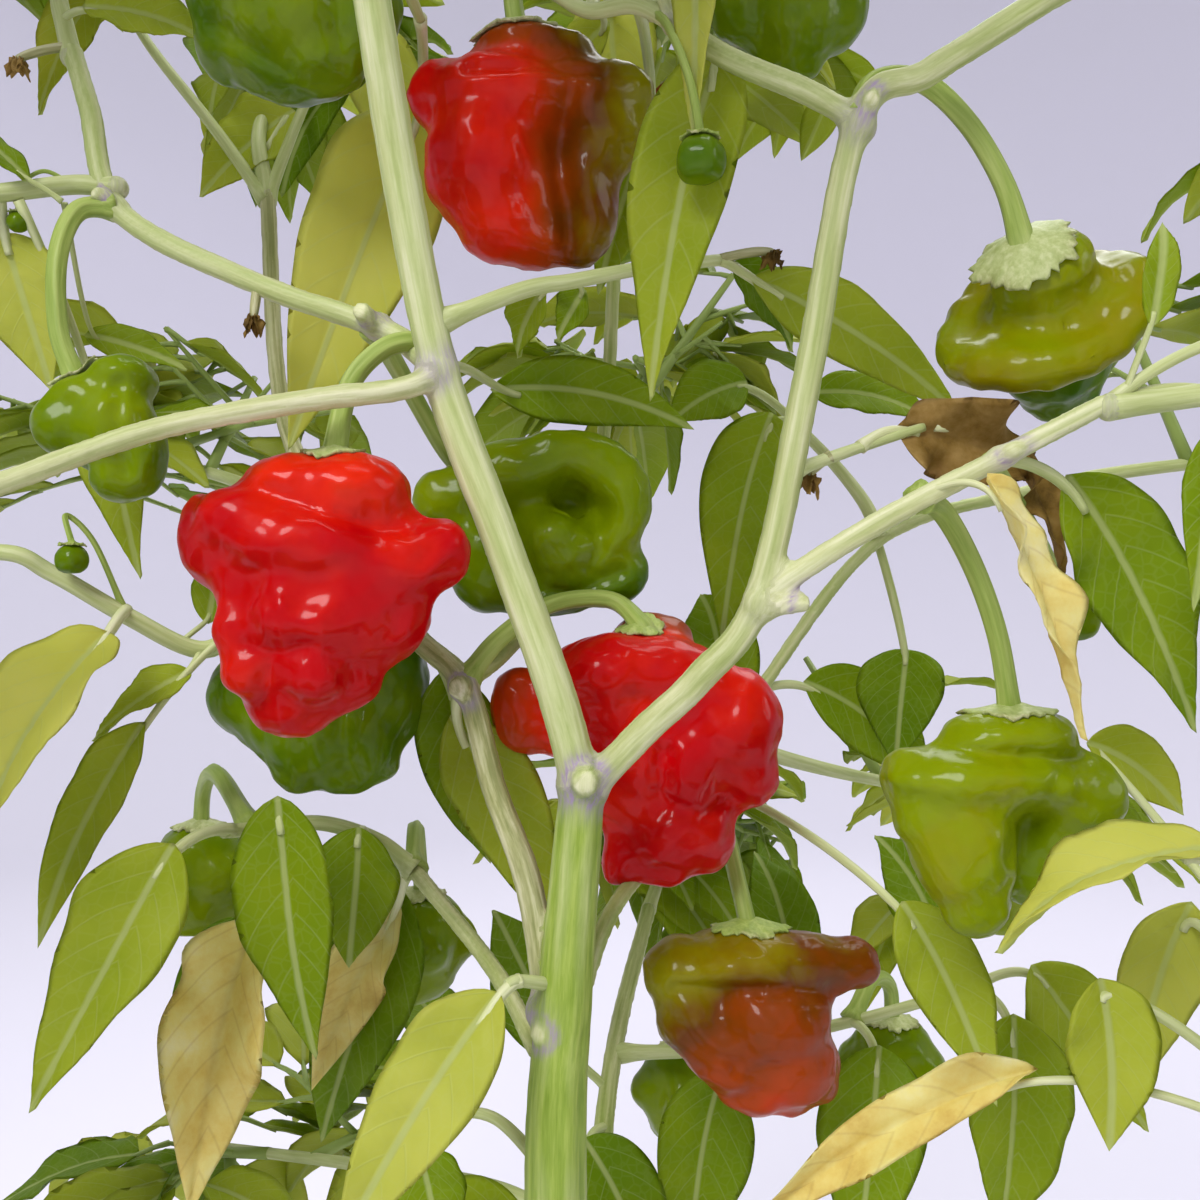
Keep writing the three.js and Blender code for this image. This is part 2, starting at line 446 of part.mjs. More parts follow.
// A steady number between 0 and 1 for each set of whole numbers
function chance(seed, twig, item, use) {
  const mixed = Math.sin(seed * 127.1 + twig * 311.7 + item * 74.7 + use * 19.19) * 43758.5453;
  return mixed - Math.floor(mixed);
}

// The shortest way between two straight lines from a to b and from c to d
function lineDistance(a, b, c, d) {
  const [u, v, w] = [b.clone().sub(a), d.clone().sub(c), a.clone().sub(c)];
  const [uu, uv, vv, uw, vw] = [u.dot(u), u.dot(v), v.dot(v), u.dot(w), v.dot(w)];
  const square = uu * vv - uv * uv;
  let s = square > 1e-9 ? THREE.MathUtils.clamp((uv * vw - vv * uw) / square, 0, 1) : 0;
  let t = (uv * s + vw) / Math.max(vv, 1e-9);
  t = THREE.MathUtils.clamp(t, 0, 1);
  s = THREE.MathUtils.clamp((uv * t - uw) / Math.max(uu, 1e-9), 0, 1);
  return a.clone().addScaledVector(u, s).distanceTo(c.clone().addScaledVector(v, t));
}

// Straight rods round everything that is placed by hand, which the seeded foliage keeps clear of
const rods = [];
function addRod(a, b, radius, stemOf = null) {
  rods.push({ a: point(a), b: point(b), radius, stemOf });
}
function addLine(points, startRadius, endRadius, stemOf = null) {
  for (let i = 0; i + 1 < points.length; i += 1) {
    const share = i / (points.length - 1);
    addRod(points[i], points[i + 1], startRadius + (endRadius - startRadius) * share + BEND_ROOM, stemOf);
  }
}
for (const [points, startRadius, endRadius] of Object.values(LIMBS)) addLine(points, startRadius, endRadius);
for (const fruit of Object.values(FRUITS)) {
  const knob = Math.max(0, ...fruit.knobs.map((row) => row[2]));
  addLine(fruit.stalk, STALK_RADIUS, STALK_RADIUS);
  addRod(fruit.stalk[fruit.stalk.length - 1], fruit.tip, fruit.radius + knob);
}
for (const group of [...Object.values(FRUITS), ...Object.values(SPRAYS), ...Object.values(MASSES)]) {
  for (const { root, base, tip, width } of group.leaves) {
    addRod(root, base, PETIOLE_RADIUS);
    addRod(base, tip, width / 2);
  }
}
for (const spray of Object.values(SPRAYS)) addLine(spray.stem, spray.radius, spray.radius);
for (const [name, mass] of Object.entries(MASSES)) addLine(mass.stem, STEM_RADIUS, STEM_RADIUS, name);

// Whether a straight line from p to q goes through a blade with four corners
function lineCrosses(p, q, [base, right, tip, left]) {
  const ray = new THREE.Ray(p, q.clone().sub(p).normalize());
  const length = p.distanceTo(q);
  for (const [a, b, c] of [[base, right, left], [left, right, tip]]) {
    const hit = ray.intersectTriangle(a, b, c, false, new THREE.Vector3());
    if (hit && hit.distanceTo(p) <= length) return true;
  }
  return false;
}

// Whether two blades cut through each other
function outlinesCross(one, other) {
  for (let i = 0; i < 4; i += 1) {
    const next = (i + 1) % 4;
    if (lineCrosses(one[i], one[next], other) || lineCrosses(other[i], other[next], one)) return true;
  }
  return false;
}

// Whether a point is nearer to this mass's middle than to any other's, and within its reach
const middles = Object.entries(MASSES).map(([name, mass]) => ({ name, middle: point(mass.middle) }));
function inOwnSpace(owner, spot) {
  const mass = MASSES[owner];
  const own = point(mass.middle);
  if (spot.distanceTo(own) > mass.reach) return false;
  for (const { name, middle } of middles) {
    if (name === owner) continue;
    const apart = middle.distanceTo(own);
    const lead = (spot.distanceToSquared(middle) - spot.distanceToSquared(own)) / (2 * apart);
    if (lead < CELL_MARGIN) return false;
  }
  return true;
}

// Whether a point leaves the view open: not close in front of the eye, nor in an opening to the sky
function leavesViewOpen(spot) {
  const depth = spot.y - EYE[1];
  if (depth <= 0) return true;
  const across = (spot.x - EYE[0]) / depth;
  const up = (spot.z - EYE[2]) / depth;
  if (Math.abs(across) > VIEW_SLOPE || Math.abs(up) > VIEW_SLOPE) return true;
  if (depth < CLEAR_DEPTH) return false;
  return OPEN_SKY.every(([x, z, radius]) => Math.hypot(across - x, up - z) > radius);
}

// Whether a straight piece with this half width can grow from a to b
function isFree(owner, a, b, halfWidth, corners) {
  for (const spot of corners) {
    if (!inOwnSpace(owner, spot) || !leavesViewOpen(spot)) return false;
  }
  if (!leavesViewOpen(between(a, b, 0.5))) return false;
  return rods.every(({ a: c, b: d, radius, stemOf }) => stemOf === owner
    || lineDistance(a, b, c, d) > radius + halfWidth + LIMB_MARGIN);
}

// The twigs and leaves of a mass, by the seeded rule
function growMass(owner, mass, seed) {
  const line = smoothLine([...mass.stem, mass.middle]);
  const lastStretch = { start: line.getPoint(0.6), end: line.getPoint(1) };
  const grown = { twigs: [lastStretch], leaves: [], fruits: [] };
  const middle = point(mass.middle);
  const outward = middle.clone().sub(point(CROWN_MIDDLE)).normalize();
  const half = HANGING_STALK / 2;
  const top = middle.clone().add(new THREE.Vector3(outward.x * half, outward.y * half, -HANGING_STALK));
  const tip = top.clone().add(new THREE.Vector3(0, 0, -HANGING_FRUIT_HEIGHT));
  const fruitFits = mass.fruit && isFree(owner, top, tip, HANGING_FRUIT_RADIUS, [top, tip]);
  if (fruitFits) grown.fruits.push({ top, tip });
  for (let i = 0; i < TWIGS_A_MASS; i += 1) {
    const start = line.getPoint(TWIGS_FROM + (1 - TWIGS_FROM) * (i + 1) / TWIGS_A_MASS);
    const height = 1 - 2 * (i + 0.5) / TWIGS_A_MASS;
    const turn = i * GOLDEN_ANGLE + seed * TURN_A_MASS;
    const flat = Math.sqrt(1 - height * height);
    const way = new THREE.Vector3(Math.cos(turn) * flat, Math.sin(turn) * flat, height * 0.8 + 0.25);
    way.addScaledVector(outward, 0.3).normalize();
    const length = mass.reach * (0.4 + 0.2 * chance(seed, i, 0, 1));
    const end = start.clone().addScaledVector(way, length);
    if (!isFree(owner, start, end, TWIG_RADIUS, [end])) continue;
    grown.twigs.push({ start, end });
    for (let j = 0; j < LEAVES_A_TWIG; j += 1) {
      const root = between(start, end, FIRST_LEAF + (LAST_LEAF - FIRST_LEAF) * j / (LEAVES_A_TWIG - 1));
      for (let k = 0; k < TRIES_A_LEAF; k += 1) {
        if (growLeaf(owner, grown, root, way, [seed, i, j], k)) break;
      }
    }
  }
  return grown;
}

// One leaf that leaves its twig sideways and droops. It grows only if its own space and the view allow it.
function growLeaf(owner, grown, root, way, place, attempt) {
  const spin = chance(...place, 2) * 2 * Math.PI + attempt * TURN_A_TRY;
  const aside = new THREE.Vector3(Math.cos(spin), Math.sin(spin), 0);
  const ahead = way.clone().multiplyScalar(0.6).addScaledVector(aside, 0.8);
  ahead.z -= 0.25 + 0.5 * chance(...place, 3);
  ahead.normalize();
  const length = LEAF_LENGTH * (0.75 + 0.4 * chance(...place, 4)) * SHRINK_A_TRY ** attempt;
  const halfWidth = length * LEAF_WIDTH_SHARE / 2;
  const facing = bladeFacing(root, root.clone().add(ahead), 40 * (chance(...place, 5) - 0.5),
    new THREE.Vector3(way.x * 0.5, way.y * 0.5, 1));
  const across = ahead.clone().cross(facing);
  const widest = root.clone().addScaledVector(ahead, length * 0.4);
  const tip = root.clone().addScaledVector(ahead, length);
  const right = widest.clone().addScaledVector(across, halfWidth);
  const left = widest.clone().addScaledVector(across, -halfWidth);
  const base = root.clone().addScaledVector(ahead, ROOT_ROOM);
  const corners = [right, tip, left];
  if (!isFree(owner, base, tip, halfWidth * 0.7, corners)) return false;
  for (const fruit of grown.fruits) {
    if (lineDistance(root, tip, fruit.top, fruit.tip) < HANGING_FRUIT_RADIUS + 1) return false;
  }
  const outline = [base, right, tip, left];
  if (grown.leaves.some((other) => outlinesCross(outline, other.outline))) return false;
  if (grown.twigs.some(({ start, end }) => lineCrosses(start, end, outline))) return false;
  grown.leaves.push({ root, tip, halfWidth, facing, outline });
  return true;
}

// A mass as one solid: stem, twigs, leaves of eight faces, and a pepper on some
function massSolid(owner, mass, seed) {
  const grown = growMass(owner, mass, seed);
  let solid = limbSolid([...mass.stem, mass.middle], STEM_RADIUS, TWIG_RADIUS, TWIG_SIDES);
  const straight = (a, b) => new THREE.LineCurve3(a, b);
  for (const { start, end } of grown.twigs.slice(1)) {
    const stops = [[0, TWIG_RADIUS, TWIG_RADIUS], [1, TWIG_RADIUS * 0.6, TWIG_RADIUS * 0.6]];
    solid = solid.add(bar(straight(start, end), stops, TWIG_SIDES, null));
  }
  for (const { root, tip, halfWidth, facing } of grown.leaves) {
    const sunk = root.clone().lerp(tip, -0.01);
    const stops = [[0, 0, 0], [0.4, halfWidth, LEAF_THICKNESS / 2], [1, 0, 0]];
    solid = solid.add(bar(straight(sunk, tip), stops, 4, facing));
  }
  for (const { top, tip } of grown.fruits) {
    const hang = [mass.middle, top.toArray(), between(top, tip, 0.3).toArray()];
    solid = solid.add(limbSolid(hang, TWIG_RADIUS, STALK_RADIUS, TWIG_SIDES));
    const fruit = { stalk: [top.toArray()], tip: tip.toArray(), radius: HANGING_FRUIT_RADIUS, depth: 1,
      lobes: 3, crease: 0.1, spin: seed * 40, shape: 'plain', knobs: [] };
    solid = solid.add(pepperSolid(fruit, SMALL_FRUIT_SIDES, SMALL_FRUIT_ROWS));
  }
  for (const one of mass.leaves) solid = solid.add(leafSolid(one));
  return clearOfLimbs(solid);
}

const plant = new THREE.Group();

// A named mesh of a finished solid, with its colour and finish
function addMesh(name, solid, colour, roughness) {
  const { vertProperties, triVerts } = solid.getMesh();
  const geometry = new THREE.BufferGeometry();
  geometry.setAttribute('position', new THREE.BufferAttribute(new Float32Array(vertProperties), 3));
  geometry.setIndex(new THREE.BufferAttribute(new Uint32Array(triVerts), 1));
  geometry.computeVertexNormals();
  const material = new THREE.MeshStandardMaterial({ color: colour, roughness, metalness: 0 });
  const mesh = new THREE.Mesh(geometry, material);
  mesh.name = name;
  plant.add(mesh);
}

for (const [name, solid] of Object.entries(limbSolids)) {
  addMesh(name, solid, name === 'left_front_limb' ? PALE_STEM : STEM_GREEN, 0.7);
}

for (const [name, fruit] of Object.entries(FRUITS)) {
  const simple = fruit.radius < SMALL_FRUIT_RADIUS;
  const sides = simple ? SMALL_FRUIT_SIDES : FRUIT_SIDES;
  const rows = simple ? SMALL_FRUIT_ROWS + 1 : FRUIT_ROWS;
  let solid = pepperSolid(fruit, sides, rows).add(stalkSolid(fruit));
  for (const one of fruit.leaves) solid = solid.add(leafSolid(one));
  addMesh(name, clearOfLimbs(solid), fruit.colour, 0.25);
}

for (const [name, spray] of Object.entries(SPRAYS)) {
  let solid = limbSolid(spray.stem, spray.radius, spray.radius * 0.7, TWIG_SIDES);
  for (const ball of spray.balls) solid = solid.add(ballSolid(ball));
  for (const one of spray.leaves) solid = solid.add(leafSolid(one));
  addMesh(name, clearOfLimbs(solid), LEAF_GREEN, 0.55);
}

Object.entries(MASSES).forEach(([name, mass], index) => {
  addMesh(name, massSolid(name, mass, index + 1), LEAF_GREEN, 0.6);
});

export default plant;
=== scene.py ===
"""Looks of a chilli pepper plant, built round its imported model.

Lists of points are in millimetres and become metres when a mesh is made: +Z up, X to the viewer's right,
Y away from the viewer, with the origin under the main stem at ground level.
"""
import math

import bpy
import numpy as np
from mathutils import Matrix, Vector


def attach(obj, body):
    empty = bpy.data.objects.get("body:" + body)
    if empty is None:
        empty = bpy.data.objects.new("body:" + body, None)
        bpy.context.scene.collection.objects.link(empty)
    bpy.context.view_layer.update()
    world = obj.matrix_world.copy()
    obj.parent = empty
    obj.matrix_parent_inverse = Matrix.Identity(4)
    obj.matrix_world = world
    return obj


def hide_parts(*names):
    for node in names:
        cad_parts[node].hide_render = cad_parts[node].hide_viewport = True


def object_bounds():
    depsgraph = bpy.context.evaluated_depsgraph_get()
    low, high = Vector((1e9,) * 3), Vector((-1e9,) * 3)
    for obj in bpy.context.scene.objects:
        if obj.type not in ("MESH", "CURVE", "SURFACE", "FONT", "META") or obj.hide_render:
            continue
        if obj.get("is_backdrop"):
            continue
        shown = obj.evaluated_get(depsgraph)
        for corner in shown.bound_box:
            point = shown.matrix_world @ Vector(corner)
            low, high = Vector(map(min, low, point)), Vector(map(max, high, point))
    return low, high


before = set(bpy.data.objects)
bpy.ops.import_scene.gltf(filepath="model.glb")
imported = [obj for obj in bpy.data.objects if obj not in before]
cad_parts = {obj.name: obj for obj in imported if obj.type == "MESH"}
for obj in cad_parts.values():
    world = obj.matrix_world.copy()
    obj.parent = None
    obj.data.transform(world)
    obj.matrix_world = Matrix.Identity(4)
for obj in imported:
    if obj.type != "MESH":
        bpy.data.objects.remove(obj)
cad_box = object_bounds()

# Camera. It stands level in front of the crown, where the photograph was taken from, so near that
# only the middle of the plant is in view.
MM = 0.001
EYE = np.array([0.0, -215.0, 380.0])
camera_data = bpy.data.cameras.new("camera")
camera_data.lens = 36
camera_data.sensor_width = 36
camera_data.clip_start = 0.01
camera = bpy.data.objects.new("camera", camera_data)
camera.location = EYE * MM
camera.rotation_euler = (math.pi / 2, 0, 0)
bpy.context.scene.collection.objects.link(camera)
bpy.context.scene.camera = camera


# Studio. One pale lavender-grey surface is floor and wall: a flat disc that curves up into a round wall
# outside every view. Wide soft lamps stand in for an open sky that is brightest in front.
def linear(code):
    """A colour written as six hex digits, as light: each of its three shares to the power 2.2."""
    return tuple((int(code[k:k + 2], 16) / 255) ** 2.2 for k in (0, 2, 4)) + (1.0,)


def ring_angles(count):
    """Angles that go round once in even steps, from nought."""
    return np.arange(count) * 2 * math.pi / count


def grid_faces(rows, columns, closed):
    """Quads between rows of points: each joins two neighbours of one row to the same two of the next row.
    A closed grid also joins its last column to its first."""
    row = np.arange(rows - 1)[:, None] * columns
    column = np.arange(columns if closed else columns - 1)[None, :]
    beside = (column + 1) % columns
    quads = [row + column, row + beside, row + columns + beside, row + columns + column]
    return np.stack(quads, axis=-1).reshape(-1, 4)


def build_mesh(name, points, quads, triangles):
    """A smooth mesh from whole arrays: points in metres, then the corners of its quads and triangles."""
    mesh = bpy.data.meshes.new(name)
    mesh.vertices.add(len(points))
    mesh.vertices.foreach_set("co", np.asarray(points, np.float32).ravel())
    corners = np.concatenate([quads.ravel(), triangles.ravel()]).astype(np.int32)
    mesh.loops.add(len(corners))
    mesh.loops.foreach_set("vertex_index", corners)
    starts = np.concatenate([np.arange(len(quads)) * 4, quads.size + np.arange(len(triangles)) * 3])
    mesh.polygons.add(len(starts))
    mesh.polygons.foreach_set("loop_start", starts.astype(np.int32))
    mesh.polygons.foreach_set("use_smooth", np.ones(len(starts), bool))
    mesh.update(calc_edges=True)
    return mesh


def add_node(tree, kind, inputs=None, **settings):
    """A shader node with its settings. Each input is set to a value, or joined to another node's output."""
    made = tree.nodes.new("ShaderNode" + kind)
    for name, value in settings.items():
        setattr(made, name, value)
    for name, value in (inputs or {}).items():
        if isinstance(value, bpy.types.NodeSocket):
            tree.links.new(value, made.inputs[name])
        else:
            made.inputs[name].default_value = value
    return made


def new_material(name, **finish):
    """A material and its main shader, whose own sockets take the values given by plain names."""
    material = bpy.data.materials.new(name)
    material.use_nodes = True
    shader = material.node_tree.nodes["Principled BSDF"]
    for socket, value in finish.items():
        shader.inputs[socket.replace("_", " ").title().replace("Ior", "IOR")].default_value = value
    return material, material.node_tree, shader


FLOOR_RADIUS = 2.6
WALL_BEND = 0.9
WALL_HEIGHT = 2.4
STAGE_SIDES = 96
bend = np.linspace(0, math.pi / 2, 14)
stage_out = np.concatenate([[0.3, 1.0], FLOOR_RADIUS - WALL_BEND + WALL_BEND * np.sin(bend), [FLOOR_RADIUS]])
stage_up = np.concatenate([[0.0, 0.0], WALL_BEND - WALL_BEND * np.cos(bend), [WALL_HEIGHT]])
turn = ring_angles(STAGE_SIDES)
stage_rings = np.stack([np.outer(stage_out, np.cos(turn)), np.outer(stage_out, np.sin(turn)),
                        np.repeat(stage_up[:, None], STAGE_SIDES, axis=1)], axis=-1)
stage_points = np.vstack([stage_rings.reshape(-1, 3), [[0, 0, 0]]])
side = np.arange(STAGE_SIDES)
stage_middle = np.stack([side, (side + 1) % STAGE_SIDES, np.full(STAGE_SIDES, len(stage_points) - 1)], -1)
stage_quads = grid_faces(len(stage_out), STAGE_SIDES, True)[:, ::-1]
stage_mesh = build_mesh("studio", stage_points, stage_quads, stage_middle)
studio = bpy.data.objects.new("studio", stage_mesh)
bpy.context.scene.collection.objects.link(studio)
studio_material, _, _ = new_material("pale wall", base_color=linear("dcdae6"), roughness=1.0,
                                      specular_ior_level=0.0)
stage_mesh.materials.append(studio_material)
studio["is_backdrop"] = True

world = bpy.data.worlds.new("sky")
bpy.context.scene.world = world
world.use_nodes = True
world.node_tree.nodes["Background"].inputs["Color"].default_value = linear("eeeeea")
world.node_tree.nodes["Background"].inputs["Strength"].default_value = 0.55
bpy.context.scene.view_settings.view_transform = "Standard"

# Each lamp's place, size and power, in metres and watts. All of them point at the middle of the crown.
LAMPS_AIM = np.array([0, 0.03, 0.38])
LAMPS = {
    "sky_front": ((-0.6, -1.2, 1.5), 0.8, 24),
    "sky_top": ((0.2, 0.1, 2.1), 1.0, 15),
    "sky_behind": ((0.5, 1.3, 1.9), 1.2, 15),
    "sky_right": ((1.7, -0.3, 1.0), 0.8, 5),
}
for name, (place, size, power) in LAMPS.items():
    lamp_data = bpy.data.lights.new(name, "AREA")
    lamp_data.shape = "DISK"
    lamp_data.size = size
    lamp_data.energy = power
    lamp = bpy.data.objects.new(name, lamp_data)
    lamp.location = place
    aim = LAMPS_AIM - np.array(place)
    lamp.rotation_euler = (math.acos(-aim[2] / np.linalg.norm(aim)), 0, math.atan2(-aim[0], aim[1]))
    bpy.context.scene.collection.objects.link(lamp)


# Trunk and boughs. The main stem is round and faintly ribbed, woody and grey at its foot and green above,
# and forks again and again. Each limb is swept as a round skin, the skins are melted into one at the forks,
# and the ribs of the bark are then raised along each limb.
# A limb is the points of its line, the radii of the room kept clear round its start and end, and how
# cream and how grey it is.
LIMBS = {
    "trunk": ([[0, 0, 0], [0, 0, 16], [-2, 1, 60], [-6, 1, 160], [-8, 0, 272], [-6, 0, 312], [-3, 0, 349]],
              9, 5.9, 0.0, 0.0),
    "left_limb": ([[-3, 0, 345], [-8, -2, 364], [-18, -3, 392], [-28, -5, 420], [-34, -10, 452],
                   [-38, -15, 480], [-44, -16, 520]], 4.6, 3.0, 0.62, 0.0),
    "right_limb": ([[-3, 0, 345], [7, -3, 356], [17, -6, 366], [27, -10, 380], [35, -12, 417],
                    [43, -15, 460], [54, -17, 467], [72, -18, 478], [90, -18, 490], [118, -5, 530]],
                   4.4, 2.4, 0.55, 0.1),
    "second_stem": ([[-9, 3, 303], [-13, 6, 327], [-20, 10, 345], [-26, 14, 364], [-38, 25, 374],
                     [-59, 47, 397], [-75, 67, 427], [-81, 77, 480]], 3.6, 2.2, 0.5, 0.5),
    "rear_right_limb": ([[-6, 1, 300], [1, 14, 318], [10, 35, 326], [23, 65, 338], [38, 73, 358],
                         [69, 80, 395], [110, 86, 408]], 3.2, 2.1, 0.5, 0.0),
    "right_side_limb": ([[27, -10, 380], [37, -13, 387], [50, -16, 395], [65, -20, 403], [82, -22, 412]],
                        2.9, 2.0, 0.85, 0.05),
    "right_inner_limb": ([[43, -15, 460], [35, -14, 465], [18, -8, 476], [11, -3, 490], [8, 0, 530]],
                         2.8, 2.2, 0.6, 0.1),
    "left_front_limb": ([[-28, -5, 420], [-34, -10, 416], [-50, -15, 413], [-72, -23, 407],
                         [-92, -30, 398], [-125, -35, 385]], 2.4, 2.0, 0.78, 0.16),
    "left_rear_limb": ([[-28, -5, 420], [-40, 7, 430], [-65, 13, 440], [-94, 20, 456], [-102, 25, 478],
                        [-107, 28, 492]], 2.7, 2.2, 0.55, 0.0),
    "second_right_limb": ([[-26, 14, 364], [-19, 27, 370], [-7, 63, 387], [1, 75, 421], [5, 85, 500]],
                          2.6, 2.0, 0.4, 0.1),
    "lower_left_limb": ([[-11, 2, 298], [-22, 30, 305], [-40, 43, 322]], 2.6, 2.1, 0.5, 0.2),
    "low_left_limb": ([[-7, 0, 205], [-28, -12, 232], [-70, -32, 262], [-110, -45, 280]], 3.0, 2.1, 0.4, 0.2),
    "low_right_limb": ([[-7, 0, 185], [20, -12, 215], [62, -26, 250], [104, -24, 288]], 3.1, 2.1, 0.4, 0.2),
    "low_back_limb": ([[-6, 1, 165], [-4, 28, 200], [2, 84, 258], [14, 130, 292]], 3.2, 2.2, 0.4, 0.2),
}
# Swollen joints: middle, radius, and how purple the ring round them is
JOINTS = [
    ([-3, 0, 347], 5.1, 0.85), ([27.5, -10.5, 379.5], 3.6, 0.15), ([-28.5, -5, 420], 4.2, 0.8),
    ([43, -15, 459], 3.4, 0.7), ([-26, 14, 363.5], 3.3, 0.3), ([-9.5, 1.5, 306], 4.2, 0.9),
    ([-41, 7.5, 430.5], 3.0, 0.7), ([-94.5, 20, 456.5], 2.7, 0.1), ([65, -20, 403], 2.4, 0.3),
    ([13, -5, 481], 2.6, 0.5), ([23, 65, 338], 2.5, 0.1),
]
# Radii at the start and end of the finished limbs that are thinner than the room kept clear round them
SLIM_RADII = {
    "trunk": (9, 4.0), "left_limb": (3.6, 3.2), "right_limb": (2.9, 2.1), "second_stem": (2.7, 2.0),
    "rear_right_limb": (1.8, 1.8), "right_side_limb": (2.2, 1.8), "right_inner_limb": (2.2, 2.0),
    "left_front_limb": (2.2, 1.8), "left_rear_limb": (2.3, 2.1), "second_right_limb": (2.0, 1.8),
    "lower_left_limb": (2.0, 1.8),
}
TRUNK_FOOT_RADIUS = 14
FLARE_FALL = 14
STEM_SIDES = 24
VOXEL = 0.00088
REAR_VOXEL = 0.001
TRUNK_RIBS = 7.0
LIMB_RIBS = 5.0
RIB_HEIGHT = 0.024
WOODY_HEIGHT = 190
WOODY_END = 230
WOODY_RELIEF = 0.42
GROUND_FADE = 1.5
JOINT_REACH = 1.25
CUT_REACH = 0.95
CUT_RING = 1.95
CUT_RING_WIDTH = 0.5
LIMB_NUMBER_STEP = 500
POINTS_AT_ONCE = 8000


def smooth_line(points, shares):
    """A curve through the given points: on each stretch a cubic whose slope at a point is half of the step
    between that point's neighbours. Past either end the line would go straight on."""
    knots = np.asarray(points, float)
    padded = np.vstack([2 * knots[0] - knots[1], knots, 2 * knots[-1] - knots[-2]])
    place = np.clip(shares, 0, 1) * (len(knots) - 1)
    first = np.minimum(place.astype(int), len(knots) - 2)
    t = (place - first)[:, None]
    a, b, c, d = (padded[first + k] for k in range(4))
    rise, fall = (c - a) / 2, (d - b) / 2
    return b + rise * t + (3 * (c - b) - 2 * rise - fall) * t ** 2 + (2 * (b - c) + rise + fall) * t ** 3


def unit(vectors):
    """Vectors along their last axis, each divided by its length."""
    return vectors / np.maximum(np.linalg.norm(vectors, axis=-1, keepdims=True), 1e-12)


def line_frames(lines):
    """Ahead, across and out at every point of each line. Across is carried along the line with no twist:
    at each point the last one loses its part along the line and is made a unit again."""
    ahead = unit(np.gradient(lines, axis=1))
    least = np.argmin(np.abs(ahead[:, 0]), axis=-1)
    carried = np.eye(3)[least]
    across = np.empty_like(lines)
    for k in range(lines.shape[1]):
        step = ahead[:, k]
        carried = unit(carried - (carried * step).sum(-1, keepdims=True) * step)
        across[:, k] = carried
    return ahead, across, np.cross(ahead, across)


def skin_faces(rows, columns, count=1):
    """Faces of closed skins that lie one after another. Each has rows of rings, then a first and a last
    point that close its ends with fans."""
    each = rows * columns + 2
    around = np.arange(columns)
    beside = (around + 1) % columns
    end = (rows - 1) * columns
    first_fan = np.stack([np.full(columns, each - 2), beside, around], axis=-1)
    last_fan = np.stack([np.full(columns, each - 1), end + around, end + beside], axis=-1)
    move = np.arange(count)[:, None, None] * each
    quads = (grid_faces(rows, columns, True)[None] + move).reshape(-1, 4)
    return quads, (np.vstack([first_fan, last_fan])[None] + move).reshape(-1, 3)


def close_skins(rings, first, last):
    """The points of closed skins, from their rings and the two points that close each one."""
    flat = rings.reshape(len(rings), -1, rings.shape[-1])
    return np.concatenate([flat, first[:, None], last[:, None]], axis=1).reshape(-1, rings.shape[-1])


def tubes(lines, radii, sides):
    """Round closed skins along lines. A ring's point is the line's point, plus across times the cosine and
    out times the sine of its angle, times the radius there. The marks give cosine and sine times the
    radius, and the length along the line."""
    lines = np.asarray(lines, float)
    radii = np.broadcast_to(radii, lines.shape[:2])
    _, across, out = line_frames(lines)
    angle = ring_angles(sides)
    cosine, sine = np.cos(angle)[:, None], np.sin(angle)[:, None]
    thick = radii[..., None, None]
    rings = lines[:, :, None] + thick * (cosine * across[:, :, None] + sine * out[:, :, None])
    steps = np.linalg.norm(np.diff(lines, axis=1), axis=-1)
    along = np.concatenate([np.zeros((len(lines), 1)), np.cumsum(steps, axis=1)], axis=1)
    marks = np.empty(rings.shape)
    marks[..., 0] = radii[..., None] * cosine[:, 0]
    marks[..., 1] = radii[..., None] * sine[:, 0]
    marks[..., 2] = along[..., None]
    quads, triangles = skin_faces(lines.shape[1], sides, len(lines))
    centre = np.zeros((len(lines), 3))
    last = centre + np.stack([centre[:, 0], centre[:, 0], along[:, -1]], axis=-1)
    return {"points": close_skins(rings, lines[:, 0], lines[:, -1]), "quads": quads, "triangles": triangles,
            "marks": {"stem_place": close_skins(marks, centre, last)}}


def join_parts(parts):
    """Several parts as one: their points in turn, and their faces moved on by the points before them.
    A mark that a part lacks is nought on it, and each part's shade is the number of its material."""
    names = sorted({name for part in parts for name in part["marks"]})
    moved, quads, triangles, quad_shades, triangle_shades = 0, [], [], [], []
    for part in parts:
        quads.append(part["quads"] + moved)
        triangles.append(part["triangles"] + moved)
        shade = part.get("shade", 0)
        quad_shades.append(np.broadcast_to(shade if np.isscalar(shade) else shade[0], len(part["quads"])))
        triangle_shades.append(np.broadcast_to(shade if np.isscalar(shade) else shade[1],
                                               len(part["triangles"])))
        moved += len(part["points"])
    marks = {name: np.vstack([part["marks"].get(name, np.zeros_like(part["points"])) for part in parts])
             for name in names}
    return {"points": np.vstack([part["points"] for part in parts]), "quads": np.vstack(quads),
            "triangles": np.vstack(triangles), "marks": marks,
            "shade": (np.concatenate(quad_shades), np.concatenate(triangle_shades))}


def add_piece(name, parts, materials, nodes):
    """A piece of the plant from its parts. It rides on the plant's only body, hides the given parts of the
    imported model, and takes the given materials."""
    whole = join_parts(parts)
    mesh = build_mesh(name, whole["points"] * MM, whole["quads"], whole["triangles"])
    for mark, values in whole["marks"].items():
        mesh.attributes.new(mark, "FLOAT_VECTOR", "POINT").data.foreach_set(
            "vector", values.astype(np.float32).ravel())
    for material in materials:
        mesh.materials.append(material)
    mesh.polygons.foreach_set("material_index", np.concatenate(whole["shade"]).astype(np.int32))
    piece = bpy.data.objects.new(name, mesh)
    bpy.context.scene.collection.objects.link(piece)
    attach(piece, "root")
    if nodes:
        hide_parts(*nodes)


